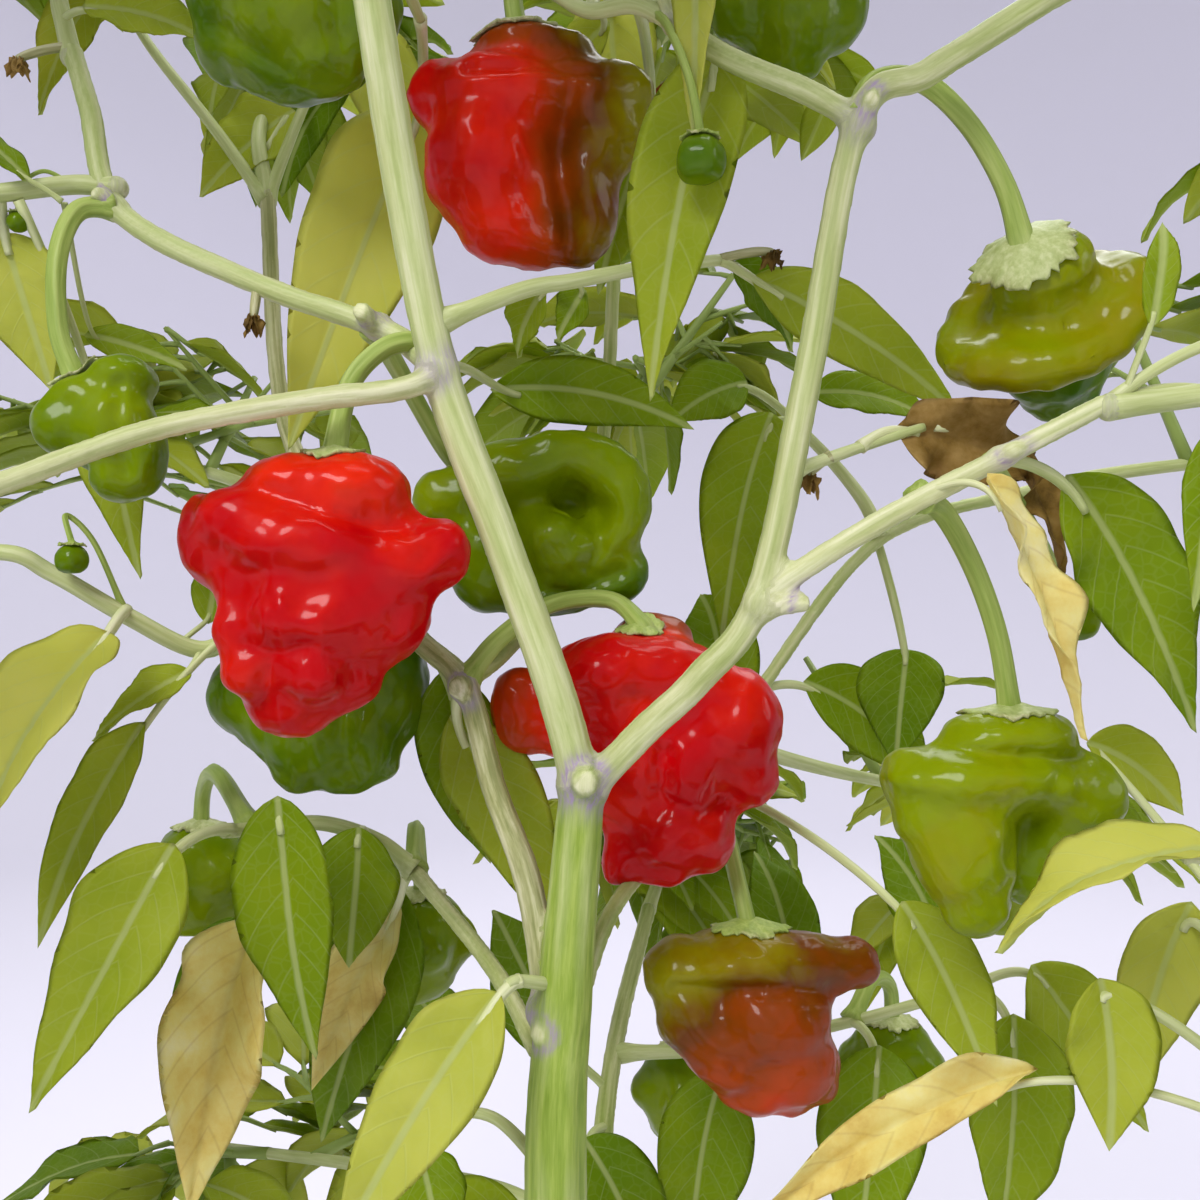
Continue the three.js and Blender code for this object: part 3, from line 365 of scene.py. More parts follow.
def limb_line(name, step):
    """A limb's centre line at about the given step, with its radius at each point."""
    points, start, end = LIMBS[name][:3]
    start, end = SLIM_RADII.get(name, (start, end))
    count = max(6, int(np.linalg.norm(np.diff(np.array(points, float), axis=0), axis=1).sum() / step))
    share = np.linspace(0, 1, count)
    radius = start + (end - start) * share
    if name == "trunk":
        radius = radius + (TRUNK_FOOT_RADIUS - start) * np.exp(-share * FLARE_FALL)
    return smooth_line(points, share), radius


def ball(middle, radius, sides=16, rows=9):
    """A closed ball: rings whose radius is the sine, and whose height is the cosine, of their angle down."""
    down = np.linspace(0, math.pi, rows + 2)[1:-1]
    angle = ring_angles(sides)
    rings = np.stack([np.outer(np.sin(down), np.cos(angle)), np.outer(np.sin(down), -np.sin(angle)),
                      np.repeat(np.cos(down)[:, None], sides, axis=1)], axis=-1)[None]
    points = close_skins(rings, np.array([[0.0, 0, 1]]), np.array([[0.0, 0, -1]]))
    quads, triangles = skin_faces(rows, sides)
    return {"points": points * radius + np.array(middle, float), "quads": quads, "triangles": triangles,
            "marks": {}}


def melt(name, parts, voxel, rounds=4):
    """The parts melted into one skin: a remesh with cubes of the given size, then rounds of smoothing."""
    whole = join_parts(parts)
    mesh = build_mesh(name, whole["points"] * MM, whole["quads"], whole["triangles"])
    lump = bpy.data.objects.new(name, mesh)
    bpy.context.scene.collection.objects.link(lump)
    remesh = lump.modifiers.new("melt", "REMESH")
    remesh.mode = "VOXEL"
    remesh.voxel_size = voxel
    smooth = lump.modifiers.new("smooth", "SMOOTH")
    smooth.factor = 0.5
    smooth.iterations = rounds
    melted = lump.evaluated_get(bpy.context.evaluated_depsgraph_get()).to_mesh()
    points = np.empty(len(melted.vertices) * 3, np.float32)
    melted.vertices.foreach_get("co", points)
    melted.calc_loop_triangles()
    corners = np.empty(len(melted.loops), np.int32)
    melted.loops.foreach_get("vertex_index", corners)
    starts = np.empty(len(melted.polygons), np.int32)
    melted.polygons.foreach_get("loop_start", starts)
    sizes = np.diff(np.append(starts, len(corners)))
    quads = corners[starts[sizes == 4][:, None] + np.arange(4)]
    triangles = corners[starts[sizes == 3][:, None] + np.arange(3)]
    normals = np.empty(len(points), np.float32)
    melted.vertex_normals.foreach_get("vector", normals)
    bpy.data.objects.remove(lump)
    return {"points": points.reshape(-1, 3).astype(float) / MM, "quads": quads, "triangles": triangles,
            "marks": {}, "normals": normals.reshape(-1, 3).astype(float)}


def waves(points, size, seed, count=9):
    """A smooth random height from about -1 to 1: the mean of sines that run in random directions, each
    about one wave to the given size."""
    dice = np.random.default_rng(seed)
    ways = unit(dice.normal(size=(count, 3))) * dice.uniform(0.6, 1.6, (count, 1)) * 2 * math.pi / size
    return np.sin(points @ ways.T + dice.uniform(0, 6.28, count)).mean(axis=1) * 2.2


def dress_stem(part, limb_names):
    """Marks each point of a melted stem with its place round and along the nearest limb and with the limb's
    tone, and raises ribs: the radius grows by a cosine of the angle times the number of ribs. The foot gets
    a woody relief. Joints and cuts are smooth, with a purple ring."""
    centres, sides, outs, radii, alongs, tones, ribs = [], [], [], [], [], [], []
    for number, name in enumerate(limb_names):
        line, radius = limb_line(name, 1.0)
        _, across, out = line_frames(line[None])
        centres.append(line)
        sides.append(across[0])
        outs.append(out[0])
        radii.append(radius)
        alongs.append(np.arange(len(line)) * 1.0 + LIMB_NUMBER_STEP * number)
        tones.append(np.tile(LIMBS[name][3:5], (len(line), 1)))
        ribs.append(np.full(len(line), TRUNK_RIBS if name == "trunk" else LIMB_RIBS))
    centres, sides, outs = np.vstack(centres), np.vstack(sides), np.vstack(outs)
    radii, alongs, tones, ribs = (np.concatenate(x) for x in (radii, alongs, tones, ribs))
    points = part["points"]
    nearest = np.empty(len(points), int)
    for first in range(0, len(points), POINTS_AT_ONCE):
        some = points[first:first + POINTS_AT_ONCE]
        square = (some ** 2).sum(1)[:, None] + (centres ** 2).sum(1)[None] - 2 * some @ centres.T
        nearest[first:first + POINTS_AT_ONCE] = np.argmin(np.sqrt(np.maximum(square, 0)) - radii, axis=1)
    away = points - centres[nearest]
    u, v = (away * sides[nearest]).sum(1), (away * outs[nearest]).sum(1)
    joint = np.zeros(len(points))
    calm = np.ones(len(points))
    for middle, radius, purple in JOINTS:
        near = np.exp(-(np.linalg.norm(points - np.array(middle), axis=1) / (radius * JOINT_REACH)) ** 4)
        joint = np.maximum(joint, near * purple)
        calm = np.minimum(calm, 1 - 0.8 * near)
    angle = np.arctan2(v, u) + 0.12 * waves(points, 60, 3)
    ridge = np.cos(ribs[nearest] * angle) * calm
    height = RIB_HEIGHT * radii[nearest] * ridge + 0.04 * waves(points, 5, 5)
    height += 0.08 * calm * waves(points * [1, 1, 0.25], 14, 6)
    cut = np.zeros(len(points))
    for _, end, radius in STUBS:
        gap = np.linalg.norm(points - np.array(end), axis=1) / radius + 0.16 * waves(points, 2.6, 14)
        cut = np.maximum(cut, np.exp(-(gap / CUT_REACH) ** 4))
        joint = np.maximum(joint, np.exp(-((gap - CUT_RING) / CUT_RING_WIDTH) ** 2))
    joint = np.clip(joint * (1 - cut) * (0.95 + 0.5 * waves(points, 4.5, 15)), 0, 1)
    woody = np.clip(1 - points[:, 2] / WOODY_HEIGHT, 0, 1)
    height += woody * WOODY_RELIEF * waves(points * [1, 1, 0.16], 4.5, 8)
    outward = unit(u[:, None] * sides[nearest] + v[:, None] * outs[nearest])
    ground = np.clip(points[:, 2] / GROUND_FADE, 0, 1)
    moved = points + outward * (height * ground)[:, None]
    moved[:, 2] = np.maximum(moved[:, 2], 0)
    part["points"] = moved
    woody = np.clip(woody + 0.25 * waves(points, 30, 9), 0, 1) * (points[:, 2] < WOODY_END)
    pale = np.clip(tones[nearest, 0] + 0.16 * ridge + 0.14 * waves(points, 25, 10), 0, 1)
    tone = np.stack([np.maximum(pale, 1.15 * cut), np.maximum(tones[nearest, 1], woody), joint], axis=-1)
    part["marks"] = {"stem_place": np.stack([u, v, alongs[nearest]], axis=-1), "stem_tone": tone}
    return part


def mix_colour(tree, factor, first, second):
    """Two colours mixed by a factor. Each is another node's output or a colour's six hex digits."""
    mixed = add_node(tree, "Mix", {"Factor": factor}, data_type="RGBA")
    for socket, colour in ((mixed.inputs[6], first), (mixed.inputs[7], second)):
        if isinstance(colour, str):
            socket.default_value = linear(colour)
        else:
            tree.links.new(colour, socket)
    return mixed.outputs[2]


def ramp(tree, factor, stops):
    """A colour or grey that runs through the given stops as the factor goes from 0 to 1."""
    made = add_node(tree, "ValToRGB", {"Fac": factor})
    elements = made.color_ramp.elements
    while len(elements) < len(stops):
        elements.new(0.5)
    for element, (place, value) in zip(elements, stops):
        element.position = place
        value = linear(value) if isinstance(value, str) else value
        element.color = (value, value, value, 1) if np.isscalar(value) else value
    return made.outputs["Color"]


def mark_of(tree, name):
    """A mark of the mesh's points, by its name."""
    return add_node(tree, "Attribute", attribute_name=name).outputs["Vector"]


def shares_of(tree, name):
    """The three numbers of a mark of the mesh's points."""
    return add_node(tree, "SeparateXYZ", {0: mark_of(tree, name)}).outputs


def noise(tree, place, scale, detail, roughness=0.5):
    """Soft random patches, with as many finer layers as the detail says."""
    settings = {"Vector": place, "Scale": scale, "Detail": detail, "Roughness": roughness}
    return add_node(tree, "TexNoise", settings).outputs[0]


def combine(tree, operation, *values, clamp=False):
    """The outcome of one operation on numbers."""
    return add_node(tree, "Math", dict(enumerate(values)), operation=operation, use_clamp=clamp).outputs[0]


def raise_relief(tree, shader, height, strength, depth, invert=False):
    """Relief too fine for the mesh, as deep as given in metres where the height is 1."""
    bump = add_node(tree, "Bump", {"Height": height, "Strength": strength, "Distance": depth}, invert=invert)
    tree.links.new(bump.outputs[0], shader.inputs["Normal"])


# Streaks run along the stem: the pattern's place is round the stem in millimetres, and a small share of
# the length along it.
stem_material, tree, shader = new_material("stem", roughness=0.5, specular_ior_level=0.25)
place = mark_of(tree, "stem_place")
tone = shares_of(tree, "stem_tone")
stretched, drawn = (add_node(tree, "VectorMath", {0: place, 1: shares}, operation="MULTIPLY").outputs[0]
                    for shares in ((0.8, 0.8, 0.05), (2.2, 2.2, 0.16)))
streak = noise(tree, stretched, 1.0, 3.0, 0.62)
fine = noise(tree, drawn, 1.0, 3.0)
green = ramp(tree, streak, [(0.34, "7e9735"), (0.5, "8fa542"), (0.66, "a2b454")])
cream = ramp(tree, streak, [(0.34, "c4c88c"), (0.5, "d2d4a2"), (0.66, "e0dfb8")])
grey = ramp(tree, streak, [(0.38, "6b5f42"), (0.5, "978a66"), (0.62, "c4ba9c")])
shade = mix_colour(tree, tone[0], green, cream)
shade = mix_colour(tree, tone[1], shade, grey)
purple = combine(tree, "MULTIPLY", tone[2], ramp(tree, fine, [(0.36, 0.35), (0.6, 0.9)]))
shade = mix_colour(tree, purple, shade, "9c86aa")
tree.links.new(shade, shader.inputs["Base Color"])
raise_relief(tree, shader, streak, 0.4, 0.0006)

MAIN_STEMS = ["trunk", "left_limb", "right_limb", "second_stem", "right_side_limb", "right_inner_limb",
              "left_front_limb", "left_rear_limb"]
REAR_STEMS = ["rear_right_limb", "second_right_limb", "lower_left_limb", "low_left_limb", "low_right_limb",
              "low_back_limb"]
# Stubs of leaves and fruit that fell: root, end and radius
STUBS = [([-2.6, -3, 348.6], [-2.6, -7.2, 348], 2.5), ([29, -12, 379], [35.5, -12.6, 379.4], 1.7),
         ([-26.3, 12, 363.8], [-26.4, 8.6, 363.4], 2.1), ([-42, 6, 431], [-43.5, 1.8, 432.6], 1.9),
         ([44, -15, 461], [44.6, -19.6, 462], 1.5), ([-94, 20, 457], [-98, 16.6, 459], 1.6),
         ([-10, 2, 302], [-11, -3, 303.5], 1.7), ([66, -20, 403], [66.5, -23.4, 404.5], 1.5)]


def stem_parts(names):
    """The raw skins of the named limbs."""
    lines = [limb_line(name, 3.0) for name in names]
    return [tubes(line[None], radius[None], STEM_SIDES) for line, radius in lines]


main_parts = stem_parts(MAIN_STEMS) + [ball(middle, radius) for middle, radius, _ in JOINTS]
for root, end, radius in STUBS:
    stub_radii = np.array([[1.25, 1.05, 1.0, 0.96]]) * radius
    main_parts.append(tubes(np.linspace(root, end, 4)[None], stub_radii, 16))
main_stem = dress_stem(melt("main_melt", main_parts, VOXEL), MAIN_STEMS)
add_piece("main_stem", [main_stem], [stem_material], MAIN_STEMS)
rear_stem = dress_stem(melt("rear_melt", stem_parts(REAR_STEMS), REAR_VOXEL), REAR_STEMS)
add_piece("rear_stems", [rear_stem], [stem_material], REAR_STEMS)


# Peppers. A bonnet pepper hangs from a ribbed stalk that flares into a pale ragged calyx. Its skin is
# glossy and lobed: a cap at the top, a brim of lobes round it, and a body that draws in to a blunt tip.
# Each one is a heap of balls pressed to lobes, melted into one skin, with folds drawn in afterwards.
# A lobe is its place to the right, up and towards the viewer, its half sizes those three ways, its roll in
# degrees and its ripeness: 0 green, 0.3 lime, 0.4 olive, 0.55 brown, 0.75 orange, 1 red. A few lobes that
# lie in shadow take a lower ripeness than their own, which paints shade on them as a darker green. All of a
# pepper's lengths are in 1200ths of the picture's width, as far from the eye as the pepper hangs.
def ring_of_lobes(radii, thickness, first, last, count, flat, ripe):
    """Lobes along part of a ring: upright towards the viewer, or flat like a hat's brim."""
    made = []
    for k in range(count):
        angle = math.radians(first + (last - first) * k / max(count - 1, 1))
        across, up = radii[0] * math.cos(angle), radii[1] * math.sin(angle)
        size = thickness * (1 + 0.09 * math.sin(2.6 * angle + 1))
        place = (across, 5 * math.sin(3 * angle), up) if flat else (across, up, 5)
        made.append([*place, size, size * (0.8 if flat else 1), size, 0, ripe])
    return made


FRUITS = {
    "fruit_red_left": {
        "stalk": [[-28, -4, 421], [-31, 0, 426], [-38, -2, 425], [-44, -4, 418], [-46, -7, 406]],
        "tip": [-52, -9, 356], "radius": 19, "calyx": 0.3, "pale": 0.4, "at": (312, 590, -7),
        "lobes": [[-10, 104, 0, 58, 34, 56, 0, 0.86], [40, 98, 0, 60, 40, 60, 0, 0.88],
                  [-64, 66, 20, 46, 36, 46, -10, 1], [-106, 50, 0, 27, 47, 38, 6, 1],
                  [-66, 18, 6, 30, 44, 44, 0, 1], [-2, 44, 24, 92, 42, 58, -10, 1],
                  [82, 26, 8, 62, 40, 52, -8, 1], [130, 38, 4, 31, 36, 32, 0, 1],
                  [18, -12, 4, 92, 70, 66, 0, 1], [76, -34, 0, 50, 38, 42, 40, 1],
                  [-52, -34, 6, 38, 60, 46, 0, 1], [-16, -62, 4, 72, 62, 58, 0, 1],
                  [-20, -112, 0, 46, 38, 42, 0, 1], [30, -92, -2, 40, 34, 38, 20, 1],
                  [-66, -38, 38, 22, 24, 22, 0, 1], [-17, -26, 62, 22, 28, 22, 0, 1],
                  [22, -34, 59, 18, 22, 20, 0, 1], [-54, -80, 40, 26, 24, 24, 0, 1],
                  [14, -84, 49, 26, 24, 22, 0, 1], [10, 20, -45, 80, 70, 45, 0, 0.97]],
        "folds": [[[(268, 600), (272, 650), (262, 700)], 0.9, 9],
                  [[(250, 648), (285, 650), (310, 645)], 0.7, 8],
                  [[(350, 520), (380, 545), (420, 560)], 0.6, 12],
                  [[(248, 484), (320, 512), (400, 530)], 0.9, 7]]},
    "fruit_red_middle": {
        "stalk": [[-26, 14, 364], [-20, 21, 372], [-10, 28, 379], [2, 32, 380], [8, 28, 375]],
        "tip": [10, 27, 323], "radius": 24, "calyx": 0.2, "pale": 0.2, "at": (640, 750, 28),
        "lobes": [[14, 112, -40, 42, 26, 34, 0, 0.6], [-30, 78, 8, 66, 40, 58, 8, 0.97],
                  [30, 70, 4, 80, 44, 58, -14, 0.98], [-119, 39, -5, 31, 46, 40, 8, 0.76],
                  [-70, 30, -8, 50, 40, 42, 0, 0.9], [10, 0, 4, 78, 62, 56, 0, 0.98],
                  [88, 26, 5, 54, 60, 58, -12, 0.98], [104, -14, 0, 34, 44, 46, 20, 0.98],
                  [42, -14, 44, 26, 38, 20, 0, 1], [34, -74, 5, 56, 46, 50, 10, 1],
                  [-18, -106, 8, 20, 30, 26, -24, 1], [22, -116, 0, 34, 20, 28, 0, 1],
                  [62, -90, 0, 34, 34, 36, 20, 1], [-30, 36, 16, 44, 34, 40, 0, 0.98],
                  [-20, -30, 0, 42, 50, 45, 0, 0.97], [0, 0, -45, 70, 60, 40, 0, 0.95]],
        "folds": [[[(664, 755), (662, 790), (668, 808), (700, 812), (730, 800)], 1.6, 12],
                  [[(640, 700), (690, 690), (730, 712)], 0.8, 12]]},
    "fruit_red_top": {
        "stalk": [[9, -2, 508], [2, 10, 516], [-10, 18, 513], [-17, 20, 503], [-16, 20, 490]],
        "tip": [-10, 18, 443], "radius": 25, "calyx": 0.35, "at": (535, 160, 19),
        "lobes": [[-8, 112, -4, 54, 20, 48, 0, 0.62], [34, 110, -6, 26, 18, 38, 0, 0.42],
                  [-88, 62, 5, 40, 34, 42, 12, 1], [-30, 54, 22, 78, 38, 60, 0, 0.95],
                  [36, 54, 12, 70, 38, 54, 0, 0.57], [84, 62, 2, 38, 32, 44, -8, 0.36],
                  [72, 24, 0, 42, 42, 46, 4, 0.4], [-52, -10, 24, 56, 70, 60, -10, 0.96],
                  [48, -30, -6, 36, 72, 44, 8, 0.5], [-36, -68, 16, 42, 40, 48, -12, 0.9],
                  [48, -76, -4, 26, 32, 34, 0, 0.5], [0, -24, 0, 50, 68, 42, 0, 0.68],
                  [-2, -90, 0, 40, 20, 34, 0, 0.74], [0, 24, -45, 72, 70, 42, 0, 0.8]],
        "folds": [[[(570, 84), (562, 115), (556, 150), (562, 185), (570, 215), (568, 258)], 3.4, 14],
                  [[(468, 66), (530, 60), (600, 68)], 2.6, 8]]},
    "fruit_green_top_left": {
        "stalk": [[-43, -16, 516], [-50, -4, 524], [-57, 10, 522], [-58, 17, 512]],
        "tip": [-57, 15, 475], "radius": 20, "calyx": 0.4, "at": (300, 10, 16),
        "lobes": [[0, 66, 0, 90, 46, 84, 0, 0.12], [-66, 10, 12, 44, 44, 48, 0, 0.08],
                  [-70, -30, -14, 40, 40, 44, 0, 0.05], [-4, -10, 40, 62, 58, 46, 0, 0.13],
                  [60, -8, 22, 46, 56, 48, 0, 0.1], [24, -60, 18, 48, 34, 42, 0, 0.1],
                  [-26, -56, 0, 60, 34, 50, -20, 0.06], [0, 0, -45, 75, 75, 45, 0, 0.08]],
        "folds": [[[(214, 20), (260, 52), (300, 78), (340, 84)], 1.3, 9],
                  [[(262, 0), (272, 30), (290, 60)], 0.8, 9],
                  [[(335, 0), (338, 45), (346, 76)], 0.9, 9]]},
    "fruit_green_top_right": {
        "stalk": [[9, -2, 522], [20, 8, 527], [33, 16, 523], [37, 17, 511]],
        "tip": [35, 15, 479], "radius": 15.5, "calyx": 0.4, "at": (785, -10, 16),
        "lobes": [[0, 40, 0, 72, 40, 66, 0, 0.1], [-40, -6, 14, 42, 58, 42, 0, 0.07],
                  [8, -26, 26, 44, 60, 40, 0, 0.1], [46, -12, 8, 38, 55, 40, 0, 0.06],
                  [4, -76, 8, 32, 20, 28, 0, 0.08], [0, -5, -38, 60, 62, 40, 0, 0.08]],
        "folds": [[[(758, 0), (764, 40), (774, 72)], 1.1, 9], [[(815, 0), (812, 40), (806, 60)], 1.1, 9]]},
    "fruit_olive_right": {
        "stalk": [[43, -15, 460], [46, -13, 467], [55, -9, 469], [64, -6, 463], [71, -4, 453], [74, -4, 443]],
        "tip": [85, 2, 410], "radius": 18, "calyx": 0.5, "pale": 0.5, "at": (1045, 318, 6), "lean": (30, 38),
        "lobes": ring_of_lobes((86, 78), 28, 0, 340, 18, True, 0.36)
        + [[7, 54, 0, 50, 38, 50, 0, 0.33], [5, 24, 0, 54, 34, 52, 0, 0.34],
           [0, -6, 0, 78, 24, 72, 0, 0.36], [4, -54, -2, 60, 46, 54, 0, 0.03],
           [6, -88, -6, 46, 40, 42, 0, 0.03], [58, -60, -14, 32, 42, 34, 0, 0.26]],
        "folds": []},
    "fruit_green_middle": {
        "stalk": [[-42, 8, 431], [-39, 25, 424], [-33, 40, 412], [-27, 46, 405]],
        "tip": [10, 26, 391], "radius": 18, "calyx": 0.4, "at": (570, 505, 36),
        "lobes": ring_of_lobes((52, 50), 29, 165, -100, 15, False, 0.17)
        + [[-6, -50, 10, 40, 26, 34, 0, 0.15], [-14, 0, -44, 72, 66, 42, 0, 0.06],
           [-16, -32, 26, 27, 26, 26, 0, 0.17], [-126, 5, -10, 34, 34, 34, 0, 0.24],
           [-84, 8, -12, 56, 42, 42, 0, 0.15], [-62, 28, -6, 44, 40, 42, 0, 0.15],
           # The two lowest lobes are a darker green (ripeness 0.03): painted shade under the ring.
           [-84, -56, -6, 40, 54, 40, 0, 0.1], [-14, -84, -14, 66, 28, 36, 10, 0.03],
           [44, -72, -14, 40, 30, 34, 30, 0.03]],
        "folds": [[[(486, 506), (530, 499), (574, 501), (598, 511)], 5.0, 16],
                  [[(508, 518), (512, 545), (528, 575)], 3.0, 12],
                  [[(598, 528), (600, 548), (588, 566)], 1.6, 9],
                  [[(530, 588), (570, 592), (620, 572)], 1.4, 8]]},
    "fruit_green_lower_left": {
        "stalk": [[-38, 25, 374], [-46, 34, 381], [-55, 39, 379], [-58, 38, 370]],
        "tip": [-54, 36, 339], "radius": 18, "calyx": 0.4, "at": (315, 690, 37),
        "lobes": [[72, 0, 0, 42, 66, 50, -6, 0.04], [0, -40, 26, 50, 52, 40, 0, 0.1],
                  [56, -44, 22, 34, 46, 36, 0, 0.1], [-66, -2, 8, 38, 44, 40, -20, 0.06],
                  [-30, -30, 10, 50, 40, 44, -30, 0.07], [0, 30, 0, 75, 50, 65, 0, 0.05],
                  [-8, -78, 22, 30, 22, 26, 0, 0.09], [34, -84, 18, 34, 18, 26, 0, 0.03],
                  [64, -72, 12, 24, 20, 24, 0, 0.06], [0, 0, -40, 66, 66, 40, 0, 0.05]],
        "folds": [[[(342, 690), (342, 730), (350, 758), (356, 786)], 1.5, 10],
                  [[(300, 745), (310, 775), (318, 790)], 0.8, 8]]},
    "fruit_lime_right": {
        "stalk": [[53, -16, 397], [59, -9, 395], [66, -4, 385], [71, -1, 373], [74, 2, 360]],
        "tip": [66, 1, 320], "radius": 18.5, "calyx": 0.44, "pale": 0.4, "at": (1000, 800, 0),
        "lobes": [[-10, 67, 0, 48, 23, 50, 0, 0.26], [34, 67, 0, 42, 24, 48, 0, 0.26],
                  [-38, 26, 18, 84, 32, 54, 0, 0.28], [-92, 22, 4, 28, 34, 38, 0, 0.3],
                  [30, 22, 10, 48, 30, 52, 0, 0.28], [-70, -10, 8, 42, 44, 44, 8, 0.3],
                  [-42, -44, 18, 52, 66, 50, 6, 0.3], [-30, -98, 14, 38, 36, 38, 0, 0.24],
                  # The right body's three lobes take a low ripeness as painted shade: a darker green where
                  # that body lies in shadow.
                  [80, 2, -14, 50, 48, 52, -8, 0.2], [72, -34, -26, 46, 50, 42, 0, 0.14],
                  [44, -70, -36, 44, 46, 34, 0, 0.1], [0, 0, -40, 75, 65, 40, 0, 0.2]],
        "folds": [[[(1066, 772), (1058, 800), (1026, 828), (1014, 856)], 2.0, 13],
                  [[(935, 750), (1000, 757), (1085, 760)], 2.0, 8]]},
    "fruit_brown_middle": {
        "stalk": [[23, 65, 338], [27, 50, 331], [29, 39, 321], [31, 35, 311]],
        "tip": [40, 33, 275], "radius": 20, "calyx": 0.4, "pale": 0.1, "at": (755, 1010, 34),
        "lobes": [[-12, 55, 5, 72, 30, 56, 3, 0.46], [-76, 40, 5, 38, 36, 42, 0, 0.42],
                  [50, 53, 0, 56, 25, 38, -3, 0.52], [97, 47, 0, 29, 27, 29, 0, 0.6],
                  [-64, 0, 8, 38, 40, 46, 0, 0.48], [14, 0, 16, 60, 46, 56, 0, 0.62],
                  [-34, -34, 12, 50, 36, 48, -34, 0.66], [34, -44, 8, 48, 48, 48, 0, 0.72],
                  [2, -74, 8, 42, 26, 36, 0, 0.72], [66, -62, 0, 20, 32, 28, 0, 0.6],
                  [34, -88, 6, 20, 16, 20, 0, 0.74], [0, 5, -40, 62, 60, 40, 0, 0.55]],
        "folds": [[[(672, 1020), (700, 1050), (735, 1068)], 1.3, 9],
                  [[(676, 990), (740, 992), (830, 994)], 1.4, 8],
                  [[(700, 1070), (728, 1080), (750, 1075)], 0.7, 7]]},
    "fruit_green_small_left": {
        "stalk": [[-95, 20, 457], [-101, 17, 455], [-103, 13, 445], [-102, 11, 431], [-99, 11, 422]],
        "tip": [-89, 9, 398], "radius": 11, "calyx": 0.4, "at": (105, 432, 10),
        "lobes": [[18, 52, 0, 34, 26, 36, -10, 0.16], [-20, 32, 4, 36, 24, 34, 14, 0.16],
                  [-34, 6, 8, 34, 34, 36, 0, 0.12], [14, 4, 14, 40, 44, 34, 0, 0.15],
                  [40, -22, 4, 24, 44, 32, 0, 0.12], [20, -46, 4, 32, 26, 30, 0, 0.12],
                  [0, 0, -22, 48, 44, 28, 0, 0.12]],
        "folds": [[[(118, 385), (116, 430), (126, 470)], 0.8, 9], [[(150, 470), (150, 500)], 0.5, 5]]},
    "fruit_green_young_right": {
        "stalk": [[64, -19, 403], [72, -4, 400], [86, 18, 391], [92, 27, 385]],
        "tip": [97, 28, 372], "radius": 5.5, "calyx": 0.5, "at": (1078, 612, 28),
        "lobes": [[0, 8, 0, 24, 18, 24, 0, 0.1], [-8, -8, 4, 14, 20, 16, 0, 0.1],
                  [9, -8, 2, 13, 19, 16, 0, 0.12], [0, -20, 0, 12, 10, 12, 0, 0.1]],
        "folds": []},
}
PICTURE = 1200
STALK_RADIUS = 2.0
STALK_ROWS = 44
STALK_SIDES = 20
PEPPER_VOXEL = 0.00085
SMALL_PEPPER_VOXEL = 0.0006
SMALL_PEPPER = 12
SWELL = 0.11
MELT_ROUNDS = 20
COARSE_CRUMPLE = 0.25
FINE_CRUMPLE = 0.13
CALYX_COLUMNS = 72


def own_ways(fruit):
    """A pepper's ways to its right, up and towards the viewer. It leans to the left by its first angle and
    towards the viewer by its second."""
    roll, pitch = (math.radians(angle) for angle in fruit.get("lean", (0, 0)))
    right = np.array([math.cos(roll), 0, math.sin(roll)])
    up = np.array([-math.sin(roll) * math.cos(pitch), -math.sin(pitch), math.cos(roll) * math.cos(pitch)])
    return np.stack([right, up, np.cross(right, up)])


def line_gap(spots, line):
    """How far flat points lie from a line of straight stretches."""
    gap = np.full(len(spots), np.inf)
    for a, b in zip(np.array(line[:-1], float), np.array(line[1:], float)):
        share = np.clip(((spots - a) @ (b - a)) / ((b - a) @ (b - a)), 0, 1)
        gap = np.minimum(gap, np.linalg.norm(spots - a - share[:, None] * (b - a), axis=1))
    return gap


